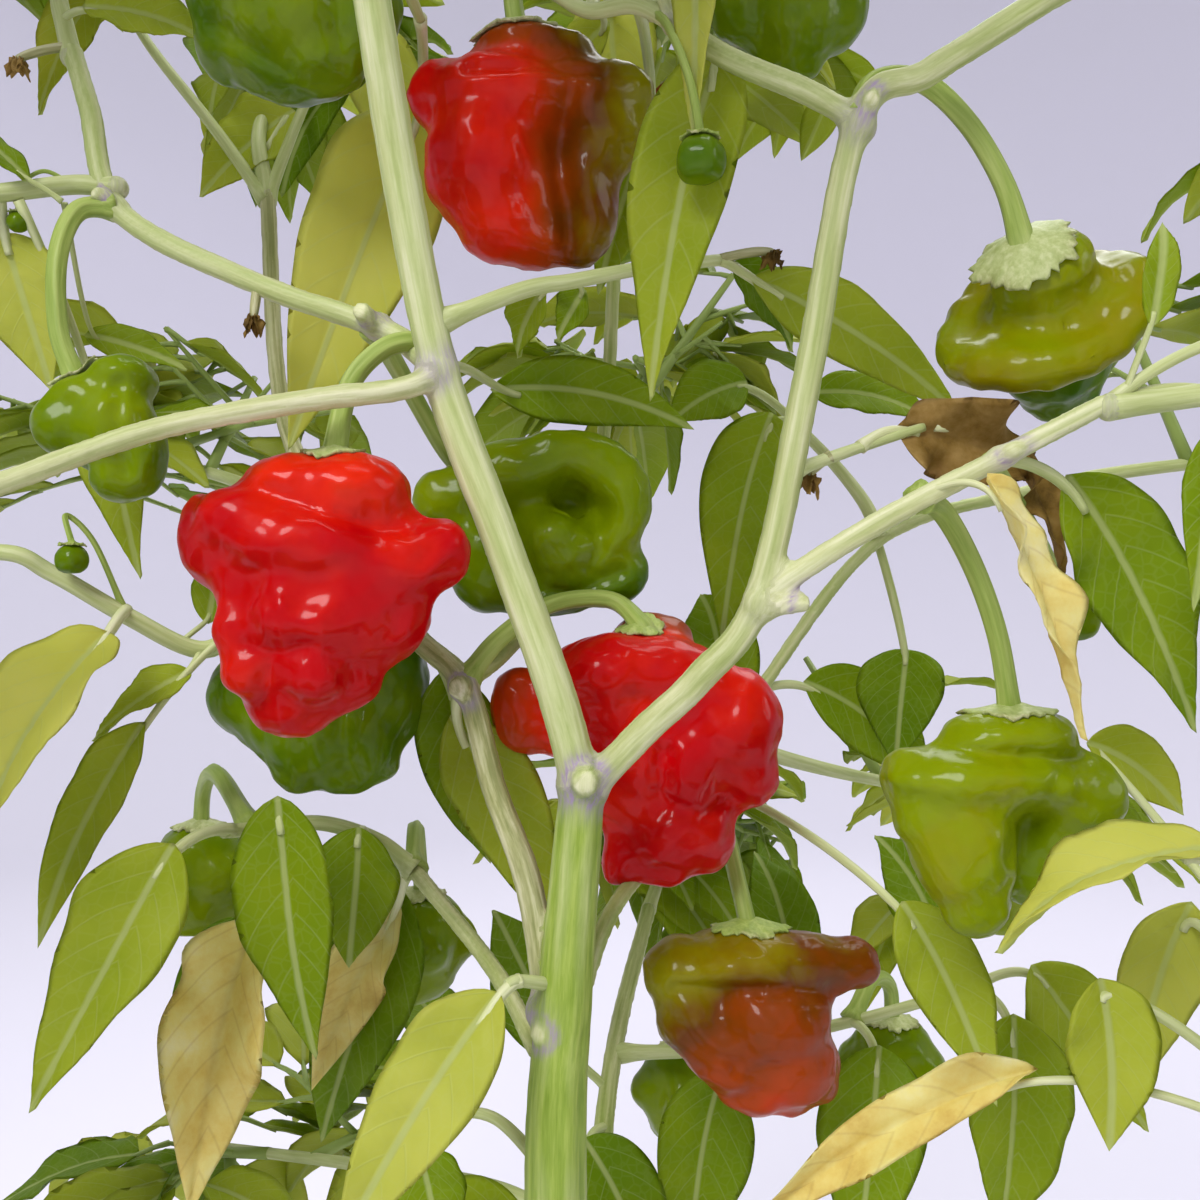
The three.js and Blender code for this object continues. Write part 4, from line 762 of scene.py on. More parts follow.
def pepper(fruit, seed, voxel=PEPPER_VOXEL):
    """A pepper's skin with its ripeness. The lobes are melted while swollen and then drawn in again, which
    fills the clefts between them. A point's ripeness is the mean of the lobes', each weighed by how deep
    in it the point lies. Its relief is a fine crumple. The folds on the viewer's side are pressed straight
    back, each by its depth times a bell curve of how far the point lies from its line."""
    across, down, back = fruit["at"]
    scale = (back - EYE[1]) / PICTURE
    middle = EYE + np.array([(across - PICTURE / 2) * scale, back - EYE[1], (PICTURE / 2 - down) * scale])
    lobes = np.array(fruit["lobes"], float)
    ways = own_ways(fruit)
    unit_ball = ball([0, 0, 0], 1, 28, 18)
    small = fruit["radius"] < SMALL_PEPPER
    swell = SWELL * fruit["radius"]
    parts, depths = [], []
    for u, v, w, wide, high, thick, roll, ripe in lobes:
        turned = ways.copy()
        cosine, sine = math.cos(math.radians(roll)), math.sin(math.radians(roll))
        turned[0] = cosine * ways[0] + sine * ways[1]
        turned[1] = cosine * ways[1] - sine * ways[0]
        heart = middle + np.array([u, v, w]) @ ways * scale
        half = np.array([wide, high, thick]) * scale + swell
        parts.append({**unit_ball, "points": (unit_ball["points"] * half) @ turned + heart})
        depths.append((heart, turned, half))
    part = melt("pepper_melt", parts, SMALL_PEPPER_VOXEL if small else voxel, MELT_ROUNDS)
    normals = part.pop("normals")
    points = part["points"] - normals * swell
    weights = np.stack([np.exp(-5 * np.linalg.norm((points - heart) @ turned.T / half, axis=1))
                        for heart, turned, half in depths])
    # Lobes set to a low ripeness for painted shade darken this mean as well.
    ripe = (weights * lobes[:, 7:8]).sum(0) / weights.sum(0)
    seen = points - EYE
    flat = np.stack([PICTURE / 2 + PICTURE * seen[:, 0] / seen[:, 1],
                     PICTURE / 2 - PICTURE * seen[:, 2] / seen[:, 1]], axis=-1)
    relief = COARSE_CRUMPLE * waves(points, 9, seed) + FINE_CRUMPLE * waves(points, 4, seed + 1)
    relief = relief * min(1, fruit["radius"] / 15)
    front = np.clip(-normals[:, 1] * 2 + 0.3, 0, 1)
    pressed = np.zeros(len(points))
    for line, depth, width in fruit["folds"]:
        pressed += depth * front * np.exp(-(line_gap(flat, line) / width) ** 2)
    part["points"] = points + normals * relief[:, None] + pressed[:, None] * np.array([0, 1, 0])
    ripe = ripe + 0.03 * waves(points, 16, seed + 2)
    part["marks"] = {"skin": np.stack([ripe, np.zeros(len(ripe)), np.zeros(len(ripe))], axis=-1)}
    return part


def stalk(fruit):
    """A ribbed stalk: a tube whose radius grows by a cosine of five times the angle, and flares at the
    calyx."""
    points = [list(p) for p in fruit["stalk"]]
    points.append(list(np.array(points[-1], float) - own_ways(fruit)[1] * 2.5))
    share = np.linspace(0, 1, STALK_ROWS)
    line = smooth_line(points, share)
    thin = min(STALK_RADIUS, fruit["radius"] * 0.2)
    flare = thin * np.clip((share - 0.62) / 0.38, 0, 1) ** 2.4
    radius = thin * (1 - 0.12 * np.sin(math.pi * share)) + flare + 0.5 * thin * np.exp(-(share / 0.05) ** 2)
    part = tubes(line[None], radius[None], STALK_SIDES)
    rib = 1 + 0.09 * np.cos(5 * ring_angles(STALK_SIDES))
    ring = part["points"][:-2].reshape(STALK_ROWS, STALK_SIDES, 3)
    part["points"][:-2] = (line[:, None] + (ring - line[:, None]) * rib[None, :, None]).reshape(-1, 3)
    part["marks"]["stem_tone"] = np.tile([0.12, 0.0, 0.0], (len(part["points"]), 1))
    part["marks"]["stem_tone"][:-2, 0] += np.repeat(0.5 * np.clip((share - 0.8) / 0.2, 0, 1), STALK_SIDES)
    return part


def calyx(fruit, seed, skin):
    """A calyx: a thin disc laid on the pepper's skin. Its radius varies by a sum of cosines for its worn
    teeth, and its rim curls. It is a closed skin with a top, a rim and an underside."""
    top = np.array(fruit["stalk"][-1], float)
    ways = own_ways(fruit)
    angle = ring_angles(CALYX_COLUMNS)
    dice = np.random.default_rng(seed)
    rag = sum(depth * np.cos(teeth * angle + dice.uniform(0, 6))
              for depth, teeth in ((0.06, 5), (0.04, 11), (0.05, 19), (0.04, 31)))
    reach = fruit["radius"] * fruit["calyx"]
    out = np.array([0.3, 0.45, 0.6, 0.75, 0.88, 0.96, 1.0, 0.96, 0.8, 0.55])
    lift = np.array([1.1, 0.7, 0.5, 0.42, 0.4, 0.38, 0.2, -0.3, -0.5, -0.5]) * min(1.0, reach / 6)
    radius = reach * (out[:, None] + rag[None] * out[:, None] ** 3)
    right, front = radius * np.cos(angle), radius * np.sin(angle)
    near = (skin - top) @ ways.T
    near = near[(np.hypot(near[:, 0], near[:, 2]) < reach * 1.3 + 1.5) & (near[:, 1] > -reach * 1.4)]
    gap = np.hypot(near[:, 0] - right[..., None], near[:, 2] - front[..., None])
    rest = np.maximum(np.where(gap < 1.3, near[:, 1], -reach).max(axis=-1), -0.42 * reach * out[:, None] ** 2)
    curl = 0.3 * np.cos(7 * angle + dice.uniform(0, 6)) + 0.2 * np.cos(17 * angle + dice.uniform(0, 6))
    rise = rest + lift[:, None] + np.maximum(curl, -0.1)[None] * out[:, None] ** 8
    spot = top + right[..., None] * ways[0] + front[..., None] * ways[2] + rise[..., None] * ways[1]
    worn = (out[:, None] ** 9) * (0.5 + 0.5 * np.sin(3 * angle + seed)[None])
    pale = fruit.get("pale", 0.72)
    tone = np.stack([pale - 0.3 * pale * worn, 0.6 * worn, np.zeros(worn.shape)], axis=-1)[None]
    place = np.stack([right, front, 9 + rise], axis=-1)[None]
    quads, triangles = skin_faces(len(out), CALYX_COLUMNS)
    middle = top + ways[1] * (rest[0].mean() + 1.2), top + ways[1] * (rest[-1].mean() - 0.6)
    hub = np.array([[pale, 0.0, 0.0]])
    return {"points": close_skins(spot[None], middle[0][None], middle[1][None]), "quads": quads[:, ::-1],
            "triangles": triangles[:, ::-1],
            "marks": {"stem_place": close_skins(place, np.zeros((1, 3)), np.zeros((1, 3))),
                      "stem_tone": close_skins(tone, hub, hub)}}


# One skin for all ages: its colour follows how ripe each place is, mottled, and a clear coat gives the gloss.
# Where a lobe's ripeness was set low for shadow, the darker green it gives is painted shade.
skin_material, tree, shader = new_material("pepper skin", roughness=0.36, coat_weight=0.26,
                                           coat_roughness=0.1, specular_ior_level=0.05)
object_place = add_node(tree, "TexCoord").outputs["Object"]
mottle = noise(tree, object_place, 95.0, 3.0, 0.6)
shift = add_node(tree, "MapRange", {"Value": mottle, "To Min": -0.09, "To Max": 0.09}).outputs[0]
age = combine(tree, "ADD", shares_of(tree, "skin")[0], shift, clamp=True)
colour = ramp(tree, age, [(0.0, "416306"), (0.14, "6d8208"), (0.28, "7e8d06"), (0.4, "868008"),
                          (0.55, "66380a"), (0.72, "a03c0a"), (0.88, "d4260c"), (1.0, "b4000e")])
tree.links.new(colour, shader.inputs["Base Color"])
pores = noise(tree, object_place, 420.0, 1.0)
ripple = noise(tree, object_place, 150.0, 1.0)
raise_relief(tree, shader, combine(tree, "MULTIPLY_ADD", pores, 0.35, ripple), 0.5, 0.0006)

for number, (name, fruit) in enumerate(FRUITS.items()):
    body = pepper(fruit, 20 + 3 * number)
    ripeness = max(lobe[7] for lobe in fruit["lobes"])
    slot = "ripe_fruit" if ripeness > 0.8 else "turning_fruit" if ripeness > 0.5 else "green_fruit"
    slot = "pale_fruit" if name in ("fruit_olive_right", "fruit_lime_right") else slot
    add_piece(name.replace("fruit", "pepper"), [body], [skin_material], [name])
    ends = [stalk(fruit), calyx(fruit, 70 + number, body["points"])]
    add_piece(name.replace("fruit", "stalk"), ends, [stem_material], [name])


# Leaves near the camera. A chilli leaf is a thin pointed blade, widest below its middle, on a long
# petiole whose groove runs on as the midrib. The blade folds up a little along the midrib, its edges
# wave, and it sinks along the side veins. Each one is made as two skins that share their edge.
# A leaf is its root on the stem, the base and tip of its blade, its width, its turn in degrees and its
# tone: from 0, deep green, to 0.98, pale yellow. DRY and above is a dead one, straw to brown. Two leaves
# have a tone paler than their own green, which is painted light.
DRY = 1.0
BROWN = 2.0
NEAR_LEAVES = {
    "fruit_red_left": [([-28, -4, 421], [-23, 36, 424], [21, 47, 417], 15, 35, 0.34)],
    "fruit_red_middle": [([-26, 14, 364], [-30, 26, 357], [-9, 34, 309], 19, 8, 0.66)],
    "fruit_lime_right": [([53, -16, 397], [61, -26, 400], [77, -26, 357], 10, -25, DRY)],
    "fruit_brown_middle": [([23, 65, 338], [59, 20, 321], [75, 11, 284], 16, 10, 0.62)],
    "fruit_green_young_right": [([64, -19, 403], [78, -14, 401], [105, -4, 356], 20, 12, 0.35)],
    "spray_middle": [([-5, 7, 439], [-11, 21, 441], [-18, 31, 429], 10, 0, 0.5),
                     ([-5, 7, 439], [-3, 17, 440], [-9, 23, 431], 8, 0, 0.4),
                     ([24, 25, 448], [27, 30, 449], [42, 37, 432], 12, 0, 0.3),
                     ([24, 25, 448], [30, 24, 444], [77, 35, 418], 16, 10, 0.6)],
    "spray_top_middle": [([9, 0, 485], [21.5, -4, 478], [8.5, -4, 415], 19.5, 0, 0.62),
                         ([10, -1, 485], [15, -10, 500], [15, -13, 457], 9, 20, 0.85),
                         ([7, 1, 487], [12, 42, 484], [-1, 43, 446], 18, 0, 0.45),
                         ([-2, 7, 489], [2, 30, 498], [-12, 43, 485], 12, 0, 0.75)],
    # Tone 0.97 is partly the leaf's pale underside and partly painted light: the glow of the sun shining
    # through it from behind.
    "leaf_left_limb": [([-34, 12, 490], [-37, 42, 487], [-67, 42, 411], 29, -10, 0.97)],
    "leaf_foot_left": [([-14, -7, 314], [-17, -10, 313], [-43, -24, 274], 18, 8, 0.8)],
    "leaf_foot_low": [([-33, 21, 279], [-36, 20, 274], [-30, 16, 250], 18, 20, 0.4)],
    "leaf_dry_right": [([46, -3, 407], [53, 0, 411], [83, 3, 402], 18, 30, 1.6),
                       ([60, 0, 411], [76, 4, 407], [87, 5, 383], 11, -30, BROWN)],
    # The first leaf's tone of 0.5 is paler than its own green: painted light against the shade the crown
    # behind casts on it.
    "spray_rear": [([52, 95, 424], [44, 92, 428], [30, 80, 370], 24, 0, 0.5),
                   ([52, 95, 424], [38, 94, 436], [17, 88, 424], 18, 0, 0.35),
                   ([66, 84, 404], [75, 78, 368], [70, 70, 340], 22, 20, 0.3)],
    "spray_lower_left": [([-72, 20, 335], [-77, 2, 336], [-96, -13, 293], 21, 0, 0.6),
                         ([-69, 27, 334], [-61, 12, 343], [-55, 10, 291], 20, 8, 0.36),
                         ([-50, 43, 329], [-50, 34, 333], [-53, 35, 302], 19, 0, 0.42),
                         ([-60, 37, 333], [-82, 58, 308], [-93, 50, 266], 16, 0, 0.32),
                         ([-66, 30, 334], [-69, 26, 316], [-78, 14, 262], 27, 0, DRY),
                         ([-42, 43, 323], [-44, 50, 313], [-64, 50, 271], 18, 0, DRY)],
    "mass_upper_left": [([-109, 29, 498], [-103, 24, 498], [-75, 22, 489], 12, 0, 0.6)],
    "mass_upper_back_left": [([-82, 80, 490], [-76, 84, 502], [-98, 78, 478], 20, 0, 0.75)],
    "mass_left": [([-104, 17, 457], [-109, 14, 460], [-124, 9, 471], 8, 40, 0.4),
                  ([-115, 15, 458], [-117, 20, 452], [-109, 24, 421], 18, 0, 0.8),
                  ([-112, 16, 457], [-104, 32, 424], [-94, 28, 384], 14, 0, 0.65)],
    "mass_left_low": [([-92, 18, 378], [-91, 8, 374], [-103, -23, 338], 22, 10, 0.96),
                      ([-80, 26, 370], [-80, 20, 366], [-96, 10, 354], 10, 20, 0.62),
                      ([-75, 27, 373], [-86, 12, 357], [-103, 0, 317], 12, 0, 0.6),
                      ([-84, 24, 371], [-81, 33, 375], [-80, 37, 391], 9, 0, 0.5)],
    "mass_right_front": [([84, -22, 412], [87, -26, 423], [89, -26, 440], 6, 0, 0.5),
                         ([99, -22, 413], [97, -27, 407], [92, -31, 378], 9, 0, 0.4)],
    "mass_right_low": [([116, -12, 315], [97, -26, 341], [60, -29, 328], 17, 55, 0.98),
                       ([108, -17, 299], [82, -18, 318], [82, -23, 291], 16, 0, 0.7),
                       ([106, -20, 294], [72, -18, 303], [21, -20, 276], 12, 20, DRY),
                       ([112, -13, 308], [106, 0, 326], [97, 4, 287], 16, 0, 0.85)],
}
VIEWED_FROM = np.array([0, -1, 0.35])
BLADE_ARCH = 0.07
PETIOLE_RADIUS = 1.0
NEAR_ACROSS = 12
NEAR_ROWS = 36
NEAR_THICKNESS = 0.5
NEAR_RELIEF = 0.4
RISE = 0.75
FALL = 1.2
WIDEST_PLACE = RISE / (RISE + FALL)
WIDEST = WIDEST_PLACE ** RISE * (1 - WIDEST_PLACE) ** FALL
SIDE_VEINS = 7.5
VEIN_WIDTH = 0.16
RIB_WIDTH = 0.8
PETIOLE_SIDES = 10
PETIOLE_ROWS = 16


def turn_about(vectors, axes, angles):
    """Vectors turned about unit axes: the part along the axis stays, and the rest turns in its plane."""
    cosine, sine = np.cos(angles)[..., None], np.sin(angles)[..., None]
    along = (vectors * axes).sum(-1, keepdims=True) * axes
    return along + (vectors - along) * cosine + np.cross(axes, vectors) * sine


def facing_of(bases, tips, turns, towards):
    """The way blades face: towards the given way, square to their length, then turned about it."""
    along = unit(tips - bases)
    facing = unit(towards - (towards * along).sum(-1, keepdims=True) * along)
    return turn_about(facing, along, np.radians(turns))


def blades(bases, tips, facings, half_widths, looks, places, rows, thickness, relief):
    """Closed thin leaves. The half width runs as the share along to the power 0.75, times what is left to
    the power 1.2. A point stands off the midrib's line by the fold, by a wave that grows with the square
    of its place across, by a trough along each side vein, and by half of the thickness on its side.
    Looks are the fold, wave, curl of the tip, phase, tone and twist. Places are the places across.
    A leaf's tone also picks the material of its tint."""
    t = np.linspace(0, 1, rows + 2)[1:-1] ** 0.95
    outline = t ** RISE * (1 - t) ** FALL / WIDEST
    fold, wave, curl, phase, tone, twist = (looks[:, k, None] for k in range(6))
    chord = tips - bases
    length = np.linalg.norm(chord, axis=-1)[:, None]
    line = bases[:, None] + chord[:, None] * t[None, :, None]
    line[..., 2] += BLADE_ARCH * length * 4 * t * (1 - t)
    line -= facings[:, None] * (curl * length * np.maximum(0, t - 0.5) ** 2)[..., None]
    aside = np.cross(unit(chord), facings)
    line += (0.03 * length * np.sin(phase) * np.sin(math.pi * t))[..., None] * aside[:, None]
    ahead = unit(np.gradient(line, axis=1))
    turned = turn_about(facings[:, None] + 0 * line, unit(chord)[:, None], twist * (t - 0.3))
    across = unit(np.cross(ahead, turned))
    normal = np.cross(across, ahead)
    half = half_widths[:, None] * outline
    v = np.concatenate([places, places[1:-1][::-1]])[None, None]
    side = np.concatenate([[0], np.ones(len(places) - 2), [0], -np.ones(len(places) - 2)])[None, None]
    out = np.abs(v) * half[..., None]
    bent = fold[..., None] * (1 - 0.5 * t[None, :, None])
    vein = SIDE_VEINS * (t[None, :, None] - out / (1.2 * length[..., None]) * (1 + 0.5 * np.abs(v)))
    vein = vein + 0.5 * (v < 0)
    high = out * np.sin(bent)
    edge = 10 * t[None, :, None] + phase[..., None] + 2.1 * (v < 0)
    high = high + wave[..., None] * half[..., None] * v ** 2 * (np.sin(edge) + 0.5 * np.sin(2.3 * edge + 1))
    if relief:
        near_vein = np.exp(-((vein - np.round(vein)) / VEIN_WIDTH) ** 2) * (1 - np.abs(v) ** 3)
        high = high - relief * np.minimum(1, length[..., None] / 60) * near_vein
        high = high - (0.35 + 0.45 * (side < 0)) * np.exp(-(out / RIB_WIDTH) ** 2)
        high = high + 0.3 * relief * np.sin(vein * 9 + phase[..., None]) * np.sin(out * 0.9)
    high = high + side * thickness / 2 * np.sqrt(np.maximum(0, 1 - v ** 2))
    spot = line[:, :, None] + across[:, :, None] * (v * half[..., None] * np.cos(bent))[..., None]
    spot = spot + normal[:, :, None] * high[..., None]
    shape = np.broadcast_shapes(high.shape, vein.shape)
    marks = np.stack([np.broadcast_to(out, shape), np.broadcast_to(vein, shape),
                      np.broadcast_to(t[None, :, None], shape)], axis=-1)
    tones = np.stack([np.broadcast_to(tone[..., None], shape), np.broadcast_to(phase[..., None], shape),
                      np.broadcast_to(side < 0, shape)], axis=-1)
    quads, triangles = skin_faces(rows, v.shape[-1], len(bases))
    ends = [marks[:, k].mean(axis=1) * [0, 1, 1] for k in (0, -1)]
    tone_ends = [tones[:, k, 0] for k in (0, -1)]
    tip_points = line[:, -1] + (line[:, -1] - line[:, -2]) * 0.6
    fresh = np.clip(tone[:, 0] * LEAF_TINTS, 0, LEAF_TINTS - 1)
    tints = np.where(tone[:, 0] < DRY, fresh, tone[:, 0] > (DRY + BROWN) / 2).astype(int)
    shade = np.repeat(tints, (rows - 1) * v.shape[-1]), np.repeat(tints, 2 * v.shape[-1])
    return {"points": close_skins(spot, bases, tip_points), "quads": quads[:, ::-1],
            "triangles": triangles[:, ::-1], "shade": shade,
            "marks": {"leaf_place": close_skins(marks, *ends), "leaf_tone": close_skins(tones, *tone_ends)}}


def petioles(roots, bases, tips, radius, sides, rows):
    """Petioles: tubes that leave the stem, sag a little on the way, and run on into the blade as its rib."""
    roots, bases, tips = (np.asarray(x, float) for x in (roots, bases, tips))
    share = np.linspace(0, 1, rows)[None, :, None]
    into = bases + (tips - bases) * 0.14
    middle = (roots + bases) / 2 + np.array([0, 0, 0.1]) * np.linalg.norm(bases - roots, axis=-1)[:, None]
    early = (1 - share) ** 3 * roots[:, None] + 3 * (1 - share) ** 2 * share * middle[:, None]
    lines = early + 3 * (1 - share) * share ** 2 * bases[:, None] + share ** 3 * into[:, None]
    taper = 1.25 - 0.25 * np.clip(share[..., 0] * 6, 0, 1) - 0.5 * np.clip(share[..., 0] - 0.5, 0, 1)
    return tubes(lines, np.asarray(radius).reshape(-1, 1) * taper, sides)


# Fresh leaves take one of nine tints by their tone. Dead ones are straw or brown, each with its blotches.
# The straw is paler than a dead leaf's own colour: painted light against the shade those leaves hang in.
LEAF_TONES = [0.0, 0.3, 0.6, 0.85, 1.0]
LEAF_COLOURS = np.array([linear(code) for code in ("46780a", "7ea012", "aebd22", "d8da5a", "e8e47e")])
LEAF_TINTS = 9
# Straw is a dead leaf's own pale colour, lightened further as painted light for the shade it hangs in.
DRY_TINTS = [[(0.3, "dfc268"), (0.42, "efdc84"), (0.56, "f6eca0"), (0.7, "f9f4c8")],
             [(0.34, "5e4822"), (0.46, "9c7c3e"), (0.58, "b8985a"), (0.68, "ccb070")]]


def leaf_colour(tone):
    """The colour of a tone: straight between the two nearest of the named ones."""
    return tuple(np.interp(tone, LEAF_TONES, LEAF_COLOURS[:, k]) for k in range(3)) + (1.0,)


def let_light_through(tree, shader, colour, share):
    """A thin blade: some of the light that falls on one side comes out of the other."""
    glow = add_node(tree, "BsdfTranslucent", {"Color": colour})
    both = add_node(tree, "MixShader", {0: share, 1: shader.outputs[0], 2: glow.outputs[0]})
    tree.links.new(both.outputs[0], tree.nodes["Material Output"].inputs["Surface"])


def leaf_finish(number):
    """A fresh leaf of one tint: faint patches, a pale midrib with fine side veins, and a paler underside."""
    material, tree, shader = new_material("leaf %d" % number, roughness=0.5, specular_ior_level=0.18)
    place, tone = shares_of(tree, "leaf_place"), shares_of(tree, "leaf_tone")
    object_place = add_node(tree, "TexCoord").outputs["Object"]
    middle = (number + 0.5) / LEAF_TINTS
    green = ramp(tree, noise(tree, object_place, 60.0, 2.0),
                 [(0.0, leaf_colour(middle - 0.14)), (1.0, leaf_colour(middle + 0.14))])
    side_vein = ramp(tree, combine(tree, "PINGPONG", place[1], 0.5), [(0.0, 0.26), (0.06, 0.0)])
    midrib = ramp(tree, combine(tree, "MULTIPLY", place[0], 0.4), [(0.14, 0.7), (0.34, 0.0)])
    veins = combine(tree, "MAXIMUM", side_vein, midrib)
    net = add_node(tree, "TexVoronoi", {"Vector": object_place, "Scale": 420.0}, feature="DISTANCE_TO_EDGE")
    net_line = ramp(tree, net.outputs[0], [(0.0, 0.07), (0.12, 0.0)])
    shade = mix_colour(tree, combine(tree, "MAXIMUM", veins, net_line), green, "d3dc94")
    shade = mix_colour(tree, combine(tree, "MULTIPLY", tone[2], 0.25), shade, "b6c662")
    tree.links.new(shade, shader.inputs["Base Color"])
    raise_relief(tree, shader, veins, 0.35, 0.0006, invert=True)
    let_light_through(tree, shader, shade, 0.48)
    return material


def dry_finish(number):
    """A dead leaf: straw or brown, blotched, with darker side veins and a crinkled surface."""
    material, tree, shader = new_material("dry leaf %d" % number, roughness=0.7, specular_ior_level=0.25)
    place = shares_of(tree, "leaf_place")
    object_place = add_node(tree, "TexCoord").outputs["Object"]
    tan = ramp(tree, noise(tree, object_place, 70.0, 6.0, 0.65), DRY_TINTS[number])
    side_vein = ramp(tree, combine(tree, "PINGPONG", place[1], 0.5), [(0.0, 0.2), (0.08, 0.0)])
    shade = mix_colour(tree, side_vein, tan, "b08a48")
    tree.links.new(shade, shader.inputs["Base Color"])
    raise_relief(tree, shader, noise(tree, object_place, 260.0, 4.0), 0.5, 0.0008)
    let_light_through(tree, shader, shade, 0.42)
    return material


leaf_materials = [leaf_finish(number) for number in range(LEAF_TINTS)]
dry_materials = [dry_finish(number) for number in range(len(DRY_TINTS))]


def near_leaf_parts(rows_of_leaves):
    """The blades and petioles of listed leaves. Each leaf's fold, wave and curl are drawn by lot."""
    count = len(rows_of_leaves)
    dice = np.random.default_rng(count)
    root, base, tip = (np.array([row[k] for row in rows_of_leaves], float) for k in range(3))
    width, turned, tone = (np.array([row[k] for row in rows_of_leaves], float) for k in (3, 4, 5))
    facing = facing_of(base, tip, turned, np.tile(VIEWED_FROM, (count, 1)))
    dry = tone >= DRY
    crumpled = 0.3 * dry + 0.3 * (tone > 1.5)
    looks = np.stack([dice.uniform(0.15, 0.5, count) + 0.4 * dry, dice.uniform(0.06, 0.17, count) + crumpled,
                      dice.uniform(-0.1, 0.45, count), dice.uniform(0, 6.28, count), tone,
                      dice.uniform(-0.7, 0.7, count) * (1 + dry)], axis=-1)
    places = np.linspace(-1, 1, NEAR_ACROSS + 1)
    size = NEAR_ROWS, NEAR_THICKNESS, NEAR_RELIEF
    fresh, dead = (blades(base[kind], tip[kind], facing[kind], width[kind] / 2, looks[kind], places, *size)
                   if kind.any() else None for kind in (~dry, dry))
    radius = PETIOLE_RADIUS * np.clip(width / 16, 0.55, 1.1)
    stems = petioles(root, base, tip, radius, PETIOLE_SIDES, PETIOLE_ROWS)
    pale = np.repeat(0.35 + 0.6 * tone, PETIOLE_ROWS * PETIOLE_SIDES + 2)
    stems["marks"]["stem_tone"] = np.stack([pale, 0 * pale, 0 * pale], axis=-1)
    return fresh, dead, stems


# Buds and withered flowers. The smallest fruits are hardly wider than their green calyx, on a nodding
# stalk. A flower that failed hangs on for a while as a few brown, crumpled petals.
# A bud is the points of its stalk and its radius. A flower is its root on the stem and its place.
BUDS = [([[10, -1, 485], [12, -9, 478], [15, -13, 468], [17, -12, 458.5]], 4.2),
        ([[-92, 18, 377], [-97, 15, 391], [-101, 12, 396], [-99, 10, 390.5]], 3.0),
        ([[-104, 22, 462], [-109, 20, 464], [-113, 18, 460], [-113, 18, 455.5]], 2.2)]
WITHERED_FLOWERS = [([-65, 13, 440], [-65.5, 12, 434]), ([40, -7, 405], [36, -7, 402]),
                    ([24, 25, 448], [34, 22, 449]), ([-107, 28, 492], [-116, 24, 488])]
PETALS = 6


def picture_place(spot):
    """A point's place across and down in the picture, and how far back it is."""
    scale = (spot[1] - EYE[1]) / PICTURE
    return PICTURE / 2 + spot[0] / scale, PICTURE / 2 - (spot[2] - EYE[2]) / scale, spot[1]


bud_skins, bud_stems = [], []
for number, (points, size) in enumerate(BUDS):
    across, high, back = points[-1][0], points[-1][2] - size * 0.9, points[-1][1]
    scale = (back - EYE[1]) / PICTURE
    rounds = [[0, 0, 0, size / scale, size / scale, size / scale, 0, 0.09]]
    rounds += [[0.5 * size / scale * math.cos(a), -0.1 * size / scale, 0.5 * size / scale * math.sin(a),
                0.62 * size / scale, 0.9 * size / scale, 0.62 * size / scale, 0, 0.04]
               for a in ring_angles(5)]
    bud = {"stalk": points, "radius": size, "calyx": 0.8, "pale": 0.1, "lobes": rounds, "folds": [],
           "at": picture_place([across, back, high])}
    bud_skins.append(pepper(bud, 400 + number))
    bud_stems += [stalk(bud), calyx(bud, 410 + number, bud_skins[-1]["points"])]
add_piece("buds", bud_skins, [skin_material], [])

flower_parts = []
for number, (root, spot) in enumerate(WITHERED_FLOWERS):
    dice = np.random.default_rng(500 + number)
    turn = ring_angles(PETALS) + dice.uniform(0, 0.6, PETALS)
    reach = dice.uniform(1.2, 2.4, PETALS)
    spread = np.stack([reach * np.cos(turn), reach * np.sin(turn), -dice.uniform(3.2, 5.2, PETALS)], axis=-1)
    bases = np.tile(np.array(spot, float), (PETALS, 1))
    facing = facing_of(bases, bases + spread, np.zeros(PETALS), spread * [1, 1, 0])
    looks = np.stack([dice.uniform(0.5, 1, PETALS), dice.uniform(0.3, 0.5, PETALS),
                      dice.uniform(-1.5, 0.5, PETALS), dice.uniform(0, 6.28, PETALS),
                      np.full(PETALS, BROWN), dice.uniform(-2, 2, PETALS)], axis=-1)
    flower_parts.append(blades(bases, bases + spread, facing, np.full(PETALS, 1.3), looks,
                               np.linspace(-1, 1, 7), 10, 0.3, 0))
    bud_stems.append(petioles([root], [spot], [[spot[0], spot[1], spot[2] - 3]], [1.0], 8, 12))
    bud_stems[-1]["marks"]["stem_tone"] = np.tile([0.5, 0.6, 0.0], (len(bud_stems[-1]["points"]), 1))
add_piece("withered_flowers", flower_parts, dry_materials, [])
add_piece("bud_stalks", bud_stems, [stem_material], [])

# Stems of the sprays: thin green twigs that carry the leaves of the photographed side.
SPRAY_STEMS = {
    "spray_middle": ([[-29, -6, 428], [-14, 2, 436], [-5, 7, 439], [8, 13, 443], [24, 25, 448]], 1.7),
    "spray_top_middle": ([[16, -7, 478], [7, 1, 487], [-2, 7, 489], [-9, 10, 494]], 1.8),
    "leaf_left_limb": ([[-38, -14, 483], [-35, -2, 489], [-34, 12, 490]], 1.4),
    "leaf_foot_left": ([[-8, 0, 311], [-14, -7, 314], [-16, -9, 314]], 1.3),
    "leaf_foot_low": ([[-8, 0, 276], [-20, 12, 282], [-33, 21, 279]], 1.3),
    "leaf_dry_right": ([[33, -11, 402], [46, -3, 407], [58, 0, 411]], 1.2),
    "spray_rear": ([[69, 80, 395], [66, 84, 404], [60, 90, 414], [52, 95, 424]], 1.9),
    "spray_lower_left": ([[-40, 43, 322], [-48, 44, 328], [-59, 38, 333], [-70, 26, 334],
                          [-73, 18, 335]], 1.9),
}


